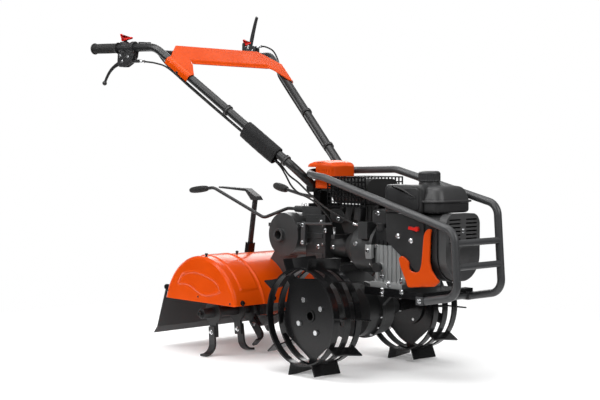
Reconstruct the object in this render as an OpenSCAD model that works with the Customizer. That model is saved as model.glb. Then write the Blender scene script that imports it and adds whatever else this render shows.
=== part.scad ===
/* [Fits] */
// Radial clearance of a shaft that turns or slides in its bore
run_gap = 0.05; // [0.02:0.01:0.1]
// Clearance between seated pieces
seat_gap = 0.3; // [0.1:0.05:0.5]

/* [Wheels] */
// Outer radius of the wheel rings
ring_r = 160; // [140:1:180]
// Radial thickness of a ring's flat bar
ring_t = 6; // [4:0.5:8]
// Width of a ring's flat bar
ring_w = 24; // [16:1:28]
// Spacing of the three rings along the axle
ring_pitch = 49.6; // [40:0.2:56]
// Distance of a wheel's middle ring from the centre plane
wheel_y = 237; // [225:1:250]
// Distance from the axle to a paddle's outer edge
paddle_r = 198; // [188:1:210]
// Thickness of a paddle
paddle_t = 5; // [3:0.5:8]
// How far a paddle's bent part trails
paddle_trail = 15; // [0:1:24]
// Turn of the lowest paddle from straight down
paddle_phase = 14.2; // [10:0.1:17.5]
// Corner radius of the wheel plate
plate_r = 150; // [130:1:153]
// Thickness of the wheel plate
plate_t = 5; // [3:0.5:8]
// Radius of the hub tube
hub_r = 20; // [18:0.5:24]
// Radius of the bolt circle on the wheel plate
wheel_bolt_r = 58.7; // [45:0.1:70]
// Radius of the drive axle
axle_r = 12; // [10:0.5:14]
// Depth of the free bore at a hub's mouth
hub_mouth = 30; // [20:1:40]

/* [Final drive] */
// Outer radius of the final drive drum
drum_r = 87; // [86:1:92]
// Half of the width of the final drive case
drum_half = 60; // [50:1:66]
// Wall of the final drive case
case_wall = 10; // [8:0.5:12]
// Gear module
gear_m = 4; // [3.8:0.1:4]
// Teeth of the axle gear
axle_teeth = 30; // [28:2:30]
// Teeth of the lay pinion
lay_teeth = 15; // [13:2:15]
// Length of an axle horn beyond the case
horn_len = 85; // [70:1:95]

/* [Gearbox] */
// Height of the crank axis
crank_z = 404; // [400:1:408]
// Half of the width of the gearbox case
box_half = 62; // [56:1:66]
// Top of the gearbox cover
box_top = 537; // [532:1:542]
// Radius of the bell housing
bell_r = 82; // [78:1:86]
// Radius of the rear case
rear_r = 76; // [72:1:80]
// Half of the width of the rotor leg
leg_half = 35; // [30:1:38]
// Radius of the socket bore in the rear case
socket_r = 16; // [12:0.5:18]
// Depth of the socket bore
socket_len = 45; // [30:1:55]

/* [Engine] */
// Top of the engine plate
plate_z = 287; // [284:1:289]
// Half of the width of the crankcase
crankcase_half = 75; // [70:1:80]
// Radius of the fan shroud
shroud_r = 87; // [83:0.5:87.5]
// Radius of the starter cover
cover_r = 82; // [76:1:84]
// Front face of the starter cover
cover_x = 430; // [420:1:440]
// Underside of the fuel tank
tank_z = 534; // [532:1:538]
// Height of the fuel tank
tank_h = 86; // [70:1:90]
// Radius of the crankshaft
crank_r = 12.5; // [10:0.5:14]
// Spacing of the wires in the muffler guard
mesh_pitch = 15; // [12:0.5:20]

/* [Guard] */
// Radius of the guard tube
guard_r = 12.5; // [11:0.5:13]
// Distance of the guard rails from the centre plane
guard_y = 108; // [108:1:112]
// Height of the loop's rear bend
loop_z = 655; // [654:1:660]

/* [Handlebar] */
// Radius of the handlebar tube
arm_r = 15; // [13:0.5:15.5]
// Length of a hand grip
grip_len = 137; // [110:1:145]
// Radius of a hand grip
grip_r = 18.5; // [17.5:0.5:21]
// Thickness of the console panel
panel_t = 3; // [2:0.5:5]
// Radius of the yoke tube
yoke_r = 17; // [15:0.5:18]

/* [Tilling gear] */
// Outer radius of the hood
hood_r = 205; // [200:1:215]
// Thickness of the hood's sheet
hood_t = 2.5; // [2:0.5:4]
// Half of the width of the hood
hood_half = 300; // [298:1:315]
// Half of the width of the hood's middle section
hood_mid = 160; // [140:1:180]
// Radius of the tine shaft
tine_shaft_r = 18; // [15:0.5:20]
// Radius to the tips of the tines
tine_r = 151; // [140:1:151]
// Thickness of a tine
tine_t = 8; // [6:0.5:10]
// Width of a tine
tine_w = 32; // [26:1:38]
// Sideways reach of a tine
tine_reach = 50; // [40:1:54]
// Thickness of the rear flap
flap_t = 2.5; // [2:0.5:5]

/* [Hidden] */
$fn = 48;

// Overshoot of a cutting body past the face that it cuts
over = 1;
// Depth to which welded pieces run into each other
weld = 1;
// Angle by which a bend runs into its straight ends, and how much thinner it is than they are
bend_over = 1;
bend_step = 0.05;

// Wheels: the lowest paddle's corner stands on the ground
axle_z = paddle_r * cos(paddle_phase) + paddle_t / 2 * sin(paddle_phase);
paddle_n = 10;
paddle_over = 3;
paddle_len = 2 * ring_pitch + ring_w + 2 * paddle_over;
paddle_fold = 0.27;
plate_phase = 3.8;
tab_w = 34;
tab_in = 25;
wheel_bolt_n = 4;
wheel_bolt_phase = 28.5;
wheel_bolt_shank = 5;
wheel_bolt_head = 9;
bolt_head_h = 7;
hub_in = 165;
hub_flange_r = wheel_bolt_r + 14;
hub_flange_t = 8;
hub_proud = 3;
pin_r = 4;
pin_y = 182;
pin_len = 2 * hub_r + 6;
right_plate_y = wheel_y + ring_w / 2 - plate_t;
left_plate_y = wheel_y - ring_w / 2;
mouth_r = axle_r + 1.5;

// Final drive
bearing_r = axle_r + 12;
horn_r = bearing_r + 6;
horn_bore = axle_r + 3;
gear_w = 24;
backlash = 0.7;
mesh_gap = 0.2;
flank = 20;
tooth_high = 0.8;
tooth_low = 1.1;
lay_dir = 125;
pinion_room = 2;
lay_dist = gear_m * (axle_teeth + lay_teeth) / 2 + mesh_gap;
lay_x = lay_dist * cos(lay_dir);
lay_z = axle_z + lay_dist * sin(lay_dir);
lay_r = 9;
lay_seat = 6;
lay_phase = lay_dir + 180 + 180 / lay_teeth;
box_z = 318;
box_floor = 12;
leg_back = -212;
leg_front = -52;
leg_angle = 70;
rim_t = 8;
rim_r = drum_r + 9;
web_x = 160;

// Gearbox
box_x0 = -222;
box_x1 = -125;
box_split = 500;
cover_x0 = -248;
cover_x1 = -150;
cover_half = box_half - 6;
neck_r = 38;
neck_x = -45;
lug_x = -66;
lug_y = -74;
lug_z = 446;
lug_half = 8;
lug_wide = 9;
lug_low = crank_z + 28;
rib_t = 3;
rib_in = 12;
rib_h = 16;
rib_z = [360, 430];
cover_lip = 10;
cover_edge = 2;
rail_in = 60;
range_seat = 16;
bell_x = 122;
bell_wall = 9;
bell_lip = 12;
cone_len = 60;
cone_r = neck_r + 8;
bell_flange = bell_r + 14;
bell_bolt_r = bell_r + 8;
governor_x0 = 58;
governor_x1 = 101;
governor_y = bell_r + 8;
governor_z0 = crank_z + 36;
governor_z1 = crank_z + 92;
rear_x = box_x0 - seat_gap - rear_r;
rear_z = 437;
rear_y = 100;
rear_left = 56;
rear_in = 4;
socket_x = rear_x - 15;
socket_z = rear_z - 2;
socket_proud = 12;
socket_wall = 7;
flange_out = 4;
flange_in = 2;
lid_x0 = rear_x - 50;
lid_x1 = rear_x + 36;
lid_in = 18;
flange_z0 = 462;
flange_z1 = 475;
lid_z = 498;
tower_y = -45;
tower_z = 526;
tower_r = 11.5;
tower_x = -290;
shift_r = 6;
rotor_x = -518;
rotor_z = 153;
leg_low_r = 70;
leg_neck = 52;
leg_wall = 8;
boss_h = 9;
boss_wall = 18;
out_seat = 2;
out_end = 3;
out_r = 12;
sprocket_hi = 28;
sprocket_lo = 31;
sprocket_t = 8;
chain_t = 7;
chain_w = 14;

// Bolt heads on the cases, by angle or place
rim_bolt_a = [-60, -35, -10];
rim_bolt = 4.5;
web_bolt_x = [106, 126];
web_bolt_z = axle_z + 66;
box_bolt_z = [345, 410, 475];
box_bolt_in = 9;
case_bolt = 5.5;
bell_bolt_n = 6;
bell_bolt_phase = 30;
base_bolt_x = 12;
base_bolt_y = 8;
base_bolt = 6;

// Engine
plate_x0 = 100;
plate_x1 = 371;
plate_h = 11;
plate_half = 98;
plate_wide = 122;
plate_step = 340;
plate_lip_t = 3;
plate_lip_h = 14;
web_path = [[0, axle_z + drum_r - 2], [drum_r - 3, axle_z + 10], [rim_r + 2, axle_z + 30],
  [web_x, plate_z - plate_h - seat_gap], [plate_x0, plate_z - plate_h - seat_gap]];
base_x0 = 120;
base_x1 = 258;
base_half = 94;
base_h = 18;
crankcase_x0 = bell_x + 3;
crankcase_x1 = 255;
crankcase_top = 480;
case_rib_n = 6;
case_rib_x = 12;
case_rib_pitch = 19;
case_rib_w = 5;
case_rib_h = 4;
case_rib_drop = 40;
chamber_wall = 12;
chamber_r = 60;
barrel_x = 190;
barrel_y = 45;
barrel_z = 408;
barrel_tilt = -60;
barrel_w = 88;
barrel_len = 98;
fin_w = 108;
fin_t = 4;
fin_pitch = 12;
fin_n = 5;
head_len = 42;
valve_h = 16;
valve_x = 8;
valve_y = 14;
valve_round = 14;
shaft_x0 = neck_x + 68;
crank_web_r = 48;
crank_web_t = 18;
crank_web_x = [crankcase_x0 + 22, crankcase_x1 - 40];
throw_y = 30;
throw_r = 15;
clutch_x0 = neck_x + 72;
clutch_x1 = bell_x - 22;
clutch_wall = 6;
clutch_floor = 12;
clutch_r = bell_r - bell_wall - 8;
shroud_x0 = crankcase_x1 + seat_gap;
shroud_x1 = 398;
shroud_wall = 3;
shroud_side = 500;
shroud_top = 529;
shroud_corner = 35;
shaft_end = shroud_x1 - 8;
shaft_room = crank_r + 20;
fly_x = shroud_x0 + 45;
fly_t = 16;
fly_hub = 50;
fly_r = shroud_r - 12;
vane_n = 12;
vane_len = 26;
vane_half = 2;
vane_in = 40;
vent_n = 7;
vent_x = shroud_x0 + 30;
vent_pitch = 14;
vent_w = 6;
vent_low = crank_z - 24;
vent_high = crank_z + 20;
grille_n = 7;
grille_y = 40;
grille_half = 27;
grille_z = crank_z + 36;
grille_pitch = 12;
grille_w = 5;
badge_r = 28;
badge_h = 4;
cover_top = tank_z - 1;
tank_x0 = 215;
tank_step = 346;
tank_x1 = 400;
tank_half = 82;
tank_right = -42;
tank_wall = 4;
tank_slope = 21;
tank_in = 24;
seam_h = 34;
seam_t = 5;
seam_lip = 7;
cap_x = 290;
cap_r = 34;
neck_fit = 24;
cap_z = tank_z + tank_h + 10;
cap_h = 35;
cap_thread = 12;
knurl_n = 12;
knurl_h = 2;
knurl_half = 3;
knurl_low = 4;
knurl_top = 6;
air_x0 = 178;
air_x1 = 340;
air_y0 = -92;
air_y1 = tank_right - 3;
air_z1 = 622;
air_round = 10;
air_relief = 3;
relief_in = 14;
relief_round = 8;
intake_x = air_x0 + 44;
intake_z = 40;
intake_r = 24;
air_foot = 6;
air_lift = 3;
side_y0 = -93;
side_t = 4;
side_x0 = 188;
side_x1 = 348;
side_low = 345;
side_mid = 439;
side_toe = 25;
side_in = 3;
side_boss = 8;
boss_low = [297, 446];
boss_high = [242, 458];
trim_t = 6;
trim_pad = [366, 440];
trim_path = [[-101, -16], [-88, -7], [-74, -12], [-54, -26], [-58, -41], [-49, -53], [-25, -57], [-12, -51],
  [-5, -32], [5, 64], [18, 82], [37, 83], [32, 61], [30, -18], [37, -44], [57, -67], [72, -78], [50, -95],
  [-54, -106], [-62, -104], [-71, -83], [-92, -44]];
choke_x = 324;
choke_z = 484;
stud_r = 4;
choke_r = 8;
choke_h = 8;
choke_in = 3;
choke_path = [[-4, 3], [-32, 8], [-34, -2], [-4, -6]];
oil_x = 150;
oil_z = 352;
oil_y = -86;
oil_r = 16;
oil_boss = oil_r - 3;
oil_bore = oil_r - 7;
oil_deep = 11;
oil_cap_h = 14;
oil_plug = 10;
muffler_x0 = -80;
muffler_x1 = 88;
muffler_half = 76;
muffler_z0 = 552;
muffler_z1 = 636;
muffler_round = 34;
pipe_r = 15;
pipe_from = [muffler_x1 - 4, 40, muffler_z0 + 34];
pipe_to = [barrel_x - fin_w / 2 + 8, 100, crank_z + 88];
band_w = 8;
band_h = 2;
band_x = [muffler_x0 + 20, muffler_x1 - 30];
stay_x = 20;
stay_y = 30;
stay_w = 24;
stay_half = 5;
mesh_x0 = -86;
mesh_x1 = 94;
mesh_half = 90;
mesh_z0 = 542;
mesh_z1 = 644;
mesh_t = 3;
mesh_wire = 4.5;
mesh_tab = 10;
mesh_tab_x = [mesh_x0 + 30, mesh_x1 - 40];
mesh_tab_z = muffler_z0 + 40;

// Cover inside the loop's rear bend: its side outline and the hollow under it
shell_half = 68;
shell_wall = 4;
shell_z = loop_z + guard_r + 6 + seat_gap;
shell_foot = 602;
shell_step = -94;
shell_path = [[-224, shell_z], [-220, shell_z + 7], [-206, shell_z + 13], [-184, shell_z + 19],
  [-140, shell_z + 20.5], [-112, shell_z + 14], [shell_step, shell_z + 2], [shell_step, shell_foot],
  [-170, shell_foot + 4], [-186, shell_foot + 34], [-188, shell_z]];
// Room at the lower rear corners for the loop's bends
shell_corner = [[-200, 44], [-188, 44], [-166, shell_half], [-166, shell_half + over],
  [-200, shell_half + over]];
shell_hollow = [[-180, shell_foot + 44], [-161, shell_foot - 12], [shell_step - shell_wall, shell_foot - 12],
  [shell_step - shell_wall, shell_z - 2], [-116, shell_z + 10], [-140, shell_z + 16], [-182, shell_z + 14]];

// Guard: the near rail slopes all the way, the far rail runs level first
loop_x = -103;
loop_bend = 100;
loop_rear = loop_x - guard_y;
front_bend = 45;
front_x = 484;
front_z = 484;
far_z = 560;
foot_x = 498;
foot_z = 286;
foot_end = plate_x1 + 2.6;
foot_end_z = plate_z - plate_h - guard_r - seat_gap;
rail_slope = 0.2655;
far_turn = 46;
far_rail_z = loop_z + 12;
bar_r = 10.5;
bar_z = [448, 375];
guard_front = foot_x - 3 + guard_r;
foot_half = 12;
foot_h = 26;
foot_in = 2;
cross_r = 11;
cross_x = 16;
near_end_z = front_z + rail_slope * (front_x - loop_x);
guard_path = [[foot_end, -guard_y - foot_in, foot_end_z], [foot_x, -guard_y, foot_z],
  [front_x, -guard_y, front_z], [loop_x + 20, -guard_y, near_end_z], [loop_rear, -guard_y, loop_z],
  [loop_rear, guard_y, loop_z + 6], [far_turn, guard_y, far_rail_z], [front_x - 6, guard_y, far_z],
  [foot_x, guard_y, foot_z], [foot_end, guard_y + foot_in, foot_end_z]];
guard_bends = [0, front_bend, front_bend, 150, loop_bend, loop_bend, 90, front_bend, front_bend, 0];

// Handlebar: the arms are straight between the yoke and the grips' bend
yoke_x = -203;
yoke_z = 604;
yoke_half = 62;
sleeve_half = 28;
sleeve_wall = 9;
post_half = 17;
foot_back = 22;
foot_t = 10;
low_corner = [-229, -116, 675];
high_corner = [-800, -283, 1113];
grip_corner = [-1130, -330, 1125];
arm_low = [yoke_x, -46, yoke_z + 6];
low_bend = 46;
high_bend = 85;
arm_path = [arm_low, low_corner, high_corner, grip_corner];
arm_bends = [0, low_bend, high_bend, 0];
arm_dir = (high_corner - low_corner) / norm(high_corner - low_corner);
plane_tilt = atan2(arm_dir[2], -arm_dir[0]);
arm_spread = -arm_dir[1] / norm([arm_dir[0], arm_dir[2]]);
grip_dir = (grip_corner - high_corner) / norm(grip_corner - high_corner);
grip_yaw = 180 + atan2(-grip_dir[1], -grip_dir[0]);
grip_rise = asin(grip_dir[2]);
grip_span = norm(grip_corner - high_corner);
grip_end = 3;
grip_lip = 5;
grip_cap = 2;
grip_flange = grip_r + 4;
panel_mid = low_corner + 545 * arm_dir;
panel_low = 12;
panel_high = -104;
panel_tip = -182;
panel_dip = -72;
panel_fold = arm_r + 4;
panel_leg = 28;
panel_skirt = 27;
panel_tip_part = 0.7;
panel_dip_part = 0.6;
tube_back_r = 12;
tube_back = 700;
grip_back = grip_corner[0] + grip_end * grip_dir[0] - grip_flange * sqrt(1 - pow(grip_dir[0], 2));
frame_shift = -(guard_front + grip_back) / 2;

// Hand controls, measured along the grip from its bend
clamp_d0 = 105;
clamp_d1 = 165;
clamp_r = 24;
mount_d0 = 100;
mount_d1 = 192;
mount_half = 13;
mount_low = -72;
mount_high = 44;
slot_half = 4.6;
lever_t = 8;
lever_pin = 4;
lever_d = 165;
lever_z = -50;
lever_ball = 9;
lever_eye = 12;
lever_path = [[0, 12], [30, -2], [84, -34], [114, -80], [106, -86], [76, -44], [26, -16], [0, -12]];
lever_tip = [111, -85];
lever_slot = 26;
slot_roof = 8;
adjuster_r = 6;
adjuster_len = 16;
left_d = 150;
left_z = 35;
left_eye = 10;
left_path = [[9, 4], [-2, 40], [-38, 128], [-56, 124], [-30, 40], [-9, -4]];
left_slot = [32, 16];
left_floor = 4;
latch_d = 172;
latch_z = 33;
latch_t = 12;
latch_eye = 8;
latch_path = [[-4, 7], [12, 22], [16, 19], [8, 2], [0, -7], [-46, 1], [-46, 8]];
latch_post = 7;
latch_low = 11;
latch_base = 10;
latch_room = [16, 9, 14];
latch_cut = [60, 24, 20, 30];
left_latch_d = 188;
left_latch_z = 52;
throttle_d = 112;
throttle_r = 16;
throttle_y = 42;
throttle_arm = 7;
throttle_half = 6;
throttle_low = -8;
throttle_top = 14;
throttle_pin = 5;
throttle_deep = 2;
throttle_h = 10;
finger_len = 40;
finger_half = 5;
finger_z = [16, 23];

// Clips along the arms
clip_w = 14;
clip_r = arm_r + 4.5;
clip_lug = 5;
clip_low = 30;
clip_left = 112;
clip_high = 330;

// Soft sleeve and cables along the right arm
sleeve_from = 74;
sleeve_len = 163;
sleeve_r = 22;
sleeve_drop = 24;
sleeve_thin = 3;
channel_in = 8;
channel_drop = 2;
cable_r = 3.2;
cable_sides = 8;
clutch_route = [[-881, -294, 1066], [-850, -290, 1062], [-800, -280, 1054], [-738, -270, 1033],
  [-646, -243, 962], [-553, -216, 891], [-455, -187, 817], [-370, -162, 752], [-285, -138, 687],
  [-262, -124, 650], [-248, -108, 610], [-220, -98, 584], [-180, -94, 570], [-140, -92, 552],
  [-105, -88, 525], [-80, -82, 498], [-68, -76, 470], [-66, -74, 446.5]];
throttle_route = [[-900, -255, 1119], [-870, -252, 1116], [-830, -254, 1098], [-790, -258, 1068],
  [-739, -260, 1033], [-646, -233, 962], [-554, -206, 891], [-457, -178, 817], [-373, -153, 752],
  [-287, -128, 687], [-255, -112, 646], [-225, -98, 622], [-190, -96, 598], [-130, -97, 560], [-70, -97, 530],
  [-10, -94, 506], [30, -86, 490], [57, -80, 484]];
left_route = [[-896, 297, 1152], [-870, 299, 1156], [-840, 302, 1150], [-808, 308, 1132], [-780, 308, 1092],
  [-757, 292, 1056], [-735, 268, 1030], [-646, 238, 962], [-553, 211, 891], [-456, 182, 817],
  [-371, 158, 752], [-290, 134, 690], [-268, 112, 640], [-262, 90, 590], [-272, 64, 552],
  [-262, 46, 526], [-249, 40, 522]];

// Tilling gear
hood_z = 195;
hood_x = -522;
flap_z = 232;
flap_out = 16.8;
hood_edge = hood_x - sqrt(pow(hood_r, 2) - pow(flap_z - rotor_z, 2));
flap_x = hood_edge - flap_out;
hinge_r = 5;
knuckle_r = 8.5;
flap_half = hood_half - 14;
hinge_half = flap_half + 9;
flap_knee = [flap_x - 62, flap_z - 153];
flap_lip = [flap_x - 84, flap_z - 176];
lip_out = 2;
flap_top = flap_x - knuckle_r + 1;
ear_low = 6;
ear_high = 10;
ear_in = 12;
ear_wall = 3;
ear_room = 40;
knuckle_room = 30;
rim_w = 12;
rim_h = 4;
ear_t = 8;
ear_gap = 0.6;
ear_mid = 90;
ear_end = flap_half + ear_gap + ear_t / 2;
ear_y = [-ear_end, -ear_mid, ear_mid, ear_end];
tine_edge = 8;
holder_r = 42;
holder_t = 10;
holder_w = 36;
holder_out = 88;
tine_in = 50;
tine_bend = 34;
tine_steps = 8;
shaft_half = hood_half - tine_edge;
outer_set = shaft_half - tine_reach - holder_t / 2;
// Each set: its place along the shaft, the turn of its first tine and the side of its feet
tine_sets = [[-outer_set, 177, -1], [-128, 173, 1], [-76, 137, -1], [76, 227, 1], [128, 263, -1],
  [outer_set, 267, 1]];

// Levers on the gearbox
shift_path = [[-225, tower_y, tower_z], [-335, tower_y, tower_z], [-423, -80, 490], [-611, -160, 596],
  [-715, -178, 585]];
shift_bend = 30;
knob_r = 11.5;
knob_len = 78;
knob_steps = 10;
knob_power = 0.45;
range_x = -238;
range_y = 12;
range_path = [[range_x, range_y, box_top - 12], [range_x, range_y, 566], [-330, 18, 574], [-425, 24, 592]];
range_bends = [0, 14, 30, 0];
range_collar = 14;
collar_wall = 5;
range_knob_r = 14;
range_knob_in = 14;

// Depth bar: a flat post with a handle plate
depth_low = [-600, 0, 345];
depth_high = [-564, 0, 555];
depth_tilt = atan2(depth_high[0] - depth_low[0], depth_high[2] - depth_low[2]);
depth_x = 9;
depth_y = 18;
depth_grip = 15;
depth_down = 220;
depth_up = norm(depth_high - depth_low);
depth_foot = 24;
depth_cut = 60;
depth_path = [[28, -7], [16, 7], [-38, 35], [-198, 40], [-198, 34], [-40, 25], [-8, -7]];
depth_wall = 6;
guide_h = 44;

// Moves a piece from the axle's frame to the part's frame
module placed() {
  translate([frame_shift, 0, 0]) children();
}

// Puts the children's +Z along the line between two points
module along(from, to) {
  v = to - from;
  translate(from) rotate([0, acos(v[2] / norm(v)), atan2(v[1], v[0])]) children();
}

module rod(from, to, r) {
  along(from, to) cylinder(h = norm(to - from), r = r);
}

// Turns the children's XY plane into the machine's XZ plane, with their +Z along -Y
module upright(y = 0) {
  translate([0, y, 0]) rotate([90, 0, 0]) children();
}

// A plate whose outline lies in the XZ plane, between two values of y
module plate_y(y0, y1) {
  upright(y1) linear_extrude(y1 - y0) children();
}

// A plate whose outline lies in the YZ plane, between two values of x
module plate_x(x0, x1) {
  translate([x0, 0, 0]) rotate([90, 0, 90]) linear_extrude(x1 - x0) children();
}

module box(x0, x1, y0, y1, z0, z1) {
  translate([x0, y0, z0]) cube([x1 - x0, y1 - y0, z1 - z0]);
}

module cyl_y(x, z, y0, y1, r) {
  translate([x, y1, z]) rotate([90, 0, 0]) cylinder(h = y1 - y0, r = r);
}

module cyl_x(y, z, x0, x1, r) {
  translate([x0, y, z]) rotate([0, 90, 0]) cylinder(h = x1 - x0, r = r);
}

module cyl_z(x, y, z0, z1, r) {
  translate([x, y, z0]) cylinder(h = z1 - z0, r = r);
}

// A round-cornered rectangle between two corners
module round_box(x0, x1, y0, y1, r) {
  translate([x0 + r, y0]) square([x1 - x0 - 2 * r, y1 - y0]);
  translate([x0, y0 + r]) square([x1 - x0, y1 - y0 - 2 * r]);
  for (x = [x0 + r, x1 - r], y = [y0 + r, y1 - r]) translate([x, y]) circle(r);
}

function unit(v) = v / norm(v);
function turn_at(p, i) = acos(unit(p[i] - p[i - 1]) * unit(p[i + 1] - p[i]));
function tangent_at(p, b, i) = i == 0 || i == len(p) - 1 ? 0 : b[i] * tan(turn_at(p, i) / 2);

// A tube along a path of points, with a bend radius for each point
module bent_tube(p, b, r) {
  for (i = [0 : len(p) - 2]) {
    d = unit(p[i + 1] - p[i]);
    rod(p[i] + d * tangent_at(p, b, i), p[i + 1] - d * tangent_at(p, b, i + 1), r);
  }
  for (i = [1 : len(p) - 2]) {
    in_dir = unit(p[i] - p[i - 1]);
    out_dir = unit(p[i + 1] - p[i]);
    axis = unit(cross(in_dir, out_dir));
    side = cross(in_dir, axis);
    start = p[i] - in_dir * tangent_at(p, b, i);
    mid = start - side * b[i];
    multmatrix([[side[0], in_dir[0], axis[0], mid[0]],
      [side[1], in_dir[1], axis[1], mid[1]],
      [side[2], in_dir[2], axis[2], mid[2]]])
      rotate(-bend_over) rotate_extrude(angle = turn_at(p, i) + 2 * bend_over) translate([b[i], 0])
        circle(r - bend_step);
  }
}

// A polyhedron tube through a list of points
module cord(p, r) {
  n = len(p);
  m = cable_sides;
  dirs = [for (i = [0 : n - 1]) unit(p[min(i + 1, n - 1)] - p[max(i - 1, 0)])];
  rings = [for (i = [0 : n - 1]) let (s = unit(cross(dirs[i], [0, 1, 0.2])), t = cross(dirs[i], s))
    for (j = [0 : m - 1]) p[i] + r * (s * cos(360 * j / m) + t * sin(360 * j / m))];
  sides = [for (i = [0 : n - 2], j = [0 : m - 1]) [i * m + j, i * m + (j + 1) % m,
    (i + 1) * m + (j + 1) % m, (i + 1) * m + j]];
  ends = [[for (j = [m - 1 : -1 : 0]) j], [for (j = [0 : m - 1]) (n - 1) * m + j]];
  polyhedron(rings, concat(sides, ends));
}

// Smooth points between hand-chosen route points
function smooth(p, k) = concat([for (i = [0 : len(p) - 2], j = [0 : k - 1])
  let (a = p[max(i - 1, 0)], b = p[i], c = p[i + 1], d = p[min(i + 2, len(p) - 1)], t = j / k)
  b + 0.5 * t * (c - a + t * (2 * a - 5 * b + 4 * c - d + t * (3 * (b - c) + d - a)))], [p[len(p) - 1]]);

function mirrored(p) = [for (q = p) [q[0], -q[1], q[2]]];

// Trapezoid teeth with a clearance on both flanks
module gear_outline(n) {
  pitch = gear_m * n / 2;
  tip = pitch + gear_m * tooth_high;
  root = pitch - gear_m * tooth_low;
  half = PI * gear_m / 4 - backlash / 2;
  a_tip = asin((half - (tip - pitch) * tan(flank)) / tip);
  a_root = asin((half + (pitch - root) * tan(flank)) / root);
  polygon([for (i = [0 : n - 1]) let (a = 360 * i / n)
    each [root * [cos(a - a_root), sin(a - a_root)], tip * [cos(a - a_tip), sin(a - a_tip)],
      tip * [cos(a + a_tip), sin(a + a_tip)], root * [cos(a + a_root), sin(a + a_root)]]]);
}

module ring_hoop() {
  rotate([90, 0, 0]) difference() {
    cylinder(h = ring_w, r = ring_r, center = true);
    cylinder(h = ring_w + 2 * over, r = ring_r - ring_t, center = true);
  }
}

module wheel_plate() {
  difference() {
    union() {
      polygon([for (i = [0 : 4]) plate_r * [sin(plate_phase + 72 * i), -cos(plate_phase + 72 * i)]]);
      for (i = [0 : 4]) rotate(plate_phase + 72 * i) translate([-tab_w / 2, -ring_r + weld])
        square([tab_w, ring_r - weld - plate_r + tab_in]);
    }
    circle(hub_r + seat_gap);
    for (i = [0 : wheel_bolt_n - 1]) rotate(wheel_bolt_phase + i * 360 / wheel_bolt_n)
      translate([wheel_bolt_r, 0]) circle(wheel_bolt_shank + seat_gap);
  }
}

module paddle() {
  half = paddle_len / 2;
  fold = paddle_len * (paddle_fold - 0.5);
  front = paddle_t / 2;
  translate([0, 0, -paddle_r]) linear_extrude(paddle_r - ring_r + weld)
    polygon([[front, -half], [front, fold], [front - paddle_trail, half], [-front - paddle_trail, half],
      [-front, fold], [-front, -half]]);
}

module wheel(y) {
  color("black") placed() translate([0, y, axle_z]) {
    for (i = [-1 : 1]) translate([0, i * ring_pitch, 0]) ring_hoop();
    for (i = [0 : paddle_n - 1]) rotate([0, paddle_phase - i * 360 / paddle_n, 0]) paddle();
    upright(plate_t - ring_w / 2) linear_extrude(plate_t) wheel_plate();
  }
}

module right_wheel() {
  wheel(-wheel_y);
}

module left_wheel() {
  wheel(wheel_y);
}

// A hub along +Y whose flange backs the wheel plate at plate_in
module hub(plate_in) {
  end_y = plate_in + plate_t + hub_proud;
  translate([0, 0, axle_z]) difference() {
    union() {
      cyl_y(0, 0, hub_in, end_y, hub_r);
      cyl_y(0, 0, plate_in - hub_flange_t, plate_in, hub_flange_r);
    }
    cyl_y(0, 0, hub_in - over, end_y + over, axle_r + run_gap);
    cyl_y(0, 0, end_y - hub_mouth, end_y + over, mouth_r);
    cyl_z(0, pin_y, -pin_len, pin_len, pin_r + run_gap);
    for (i = [0 : wheel_bolt_n - 1]) rotate([0, -wheel_bolt_phase - i * 360 / wheel_bolt_n, 0])
      cyl_y(wheel_bolt_r, 0, plate_in - hub_flange_t - over, plate_in + over, wheel_bolt_shank + seat_gap);
  }
}

module wheel_hubs() {
  color("dimgray") placed() {
    mirror([0, 1, 0]) hub(right_plate_y);
    hub(left_plate_y);
  }
}

// Bolts with their heads on the camera side of a plate
module plate_bolts(y_head, y_end) {
  translate([0, 0, axle_z]) for (i = [0 : wheel_bolt_n - 1])
    rotate([0, -wheel_bolt_phase - i * 360 / wheel_bolt_n, 0]) {
      cyl_y(wheel_bolt_r, 0, y_head, y_end, wheel_bolt_shank);
      translate([wheel_bolt_r, y_head, 0]) rotate([90, 0, 0])
        cylinder(h = bolt_head_h, r = wheel_bolt_head, $fn = 6);
    }
}

module wheel_bolts() {
  color("silver") placed() {
    plate_bolts(-right_plate_y - plate_t, -right_plate_y + hub_flange_t);
    mirror([0, 1, 0]) plate_bolts(-left_plate_y - plate_t, -left_plate_y + hub_flange_t);
    for (s = [-1, 1]) cyl_z(0, s * pin_y, axle_z - pin_len / 2, axle_z + pin_len / 2, pin_r);
  }
}

module drive_axle() {
  right_end = right_plate_y + plate_t + hub_proud - hub_mouth;
  left_end = left_plate_y + plate_t + hub_proud - hub_mouth;
  color("gray") placed() translate([0, 0, axle_z]) difference() {
    cyl_y(0, 0, -right_end, left_end, axle_r);
    for (s = [-1, 1]) cyl_z(0, s * pin_y, -pin_len, pin_len, pin_r + run_gap);
  }
}

module axle_gear() {
  color("slategray") placed() translate([0, 0, axle_z]) difference() {
    plate_y(-gear_w / 2, gear_w / 2) rotate(lay_dir) gear_outline(axle_teeth);
    cyl_y(0, 0, -gear_w, gear_w, axle_r + run_gap);
  }
}

module lay_pinion() {
  half = drum_half - case_wall + lay_seat - seat_gap;
  color("slategray") placed() translate([lay_x, 0, lay_z]) {
    plate_y(-gear_w / 2, gear_w / 2) rotate(lay_phase) gear_outline(lay_teeth);
    cyl_y(0, 0, -half, half, lay_r);
  }
}

module axle_bearings() {
  color("silver") placed() for (s = [0, 1]) mirror([0, s, 0]) translate([0, 0, axle_z]) difference() {
    cyl_y(0, 0, drum_half - case_wall, drum_half - run_gap, bearing_r);
    cyl_y(0, 0, 0, drum_half, axle_r + run_gap);
  }
}

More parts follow.
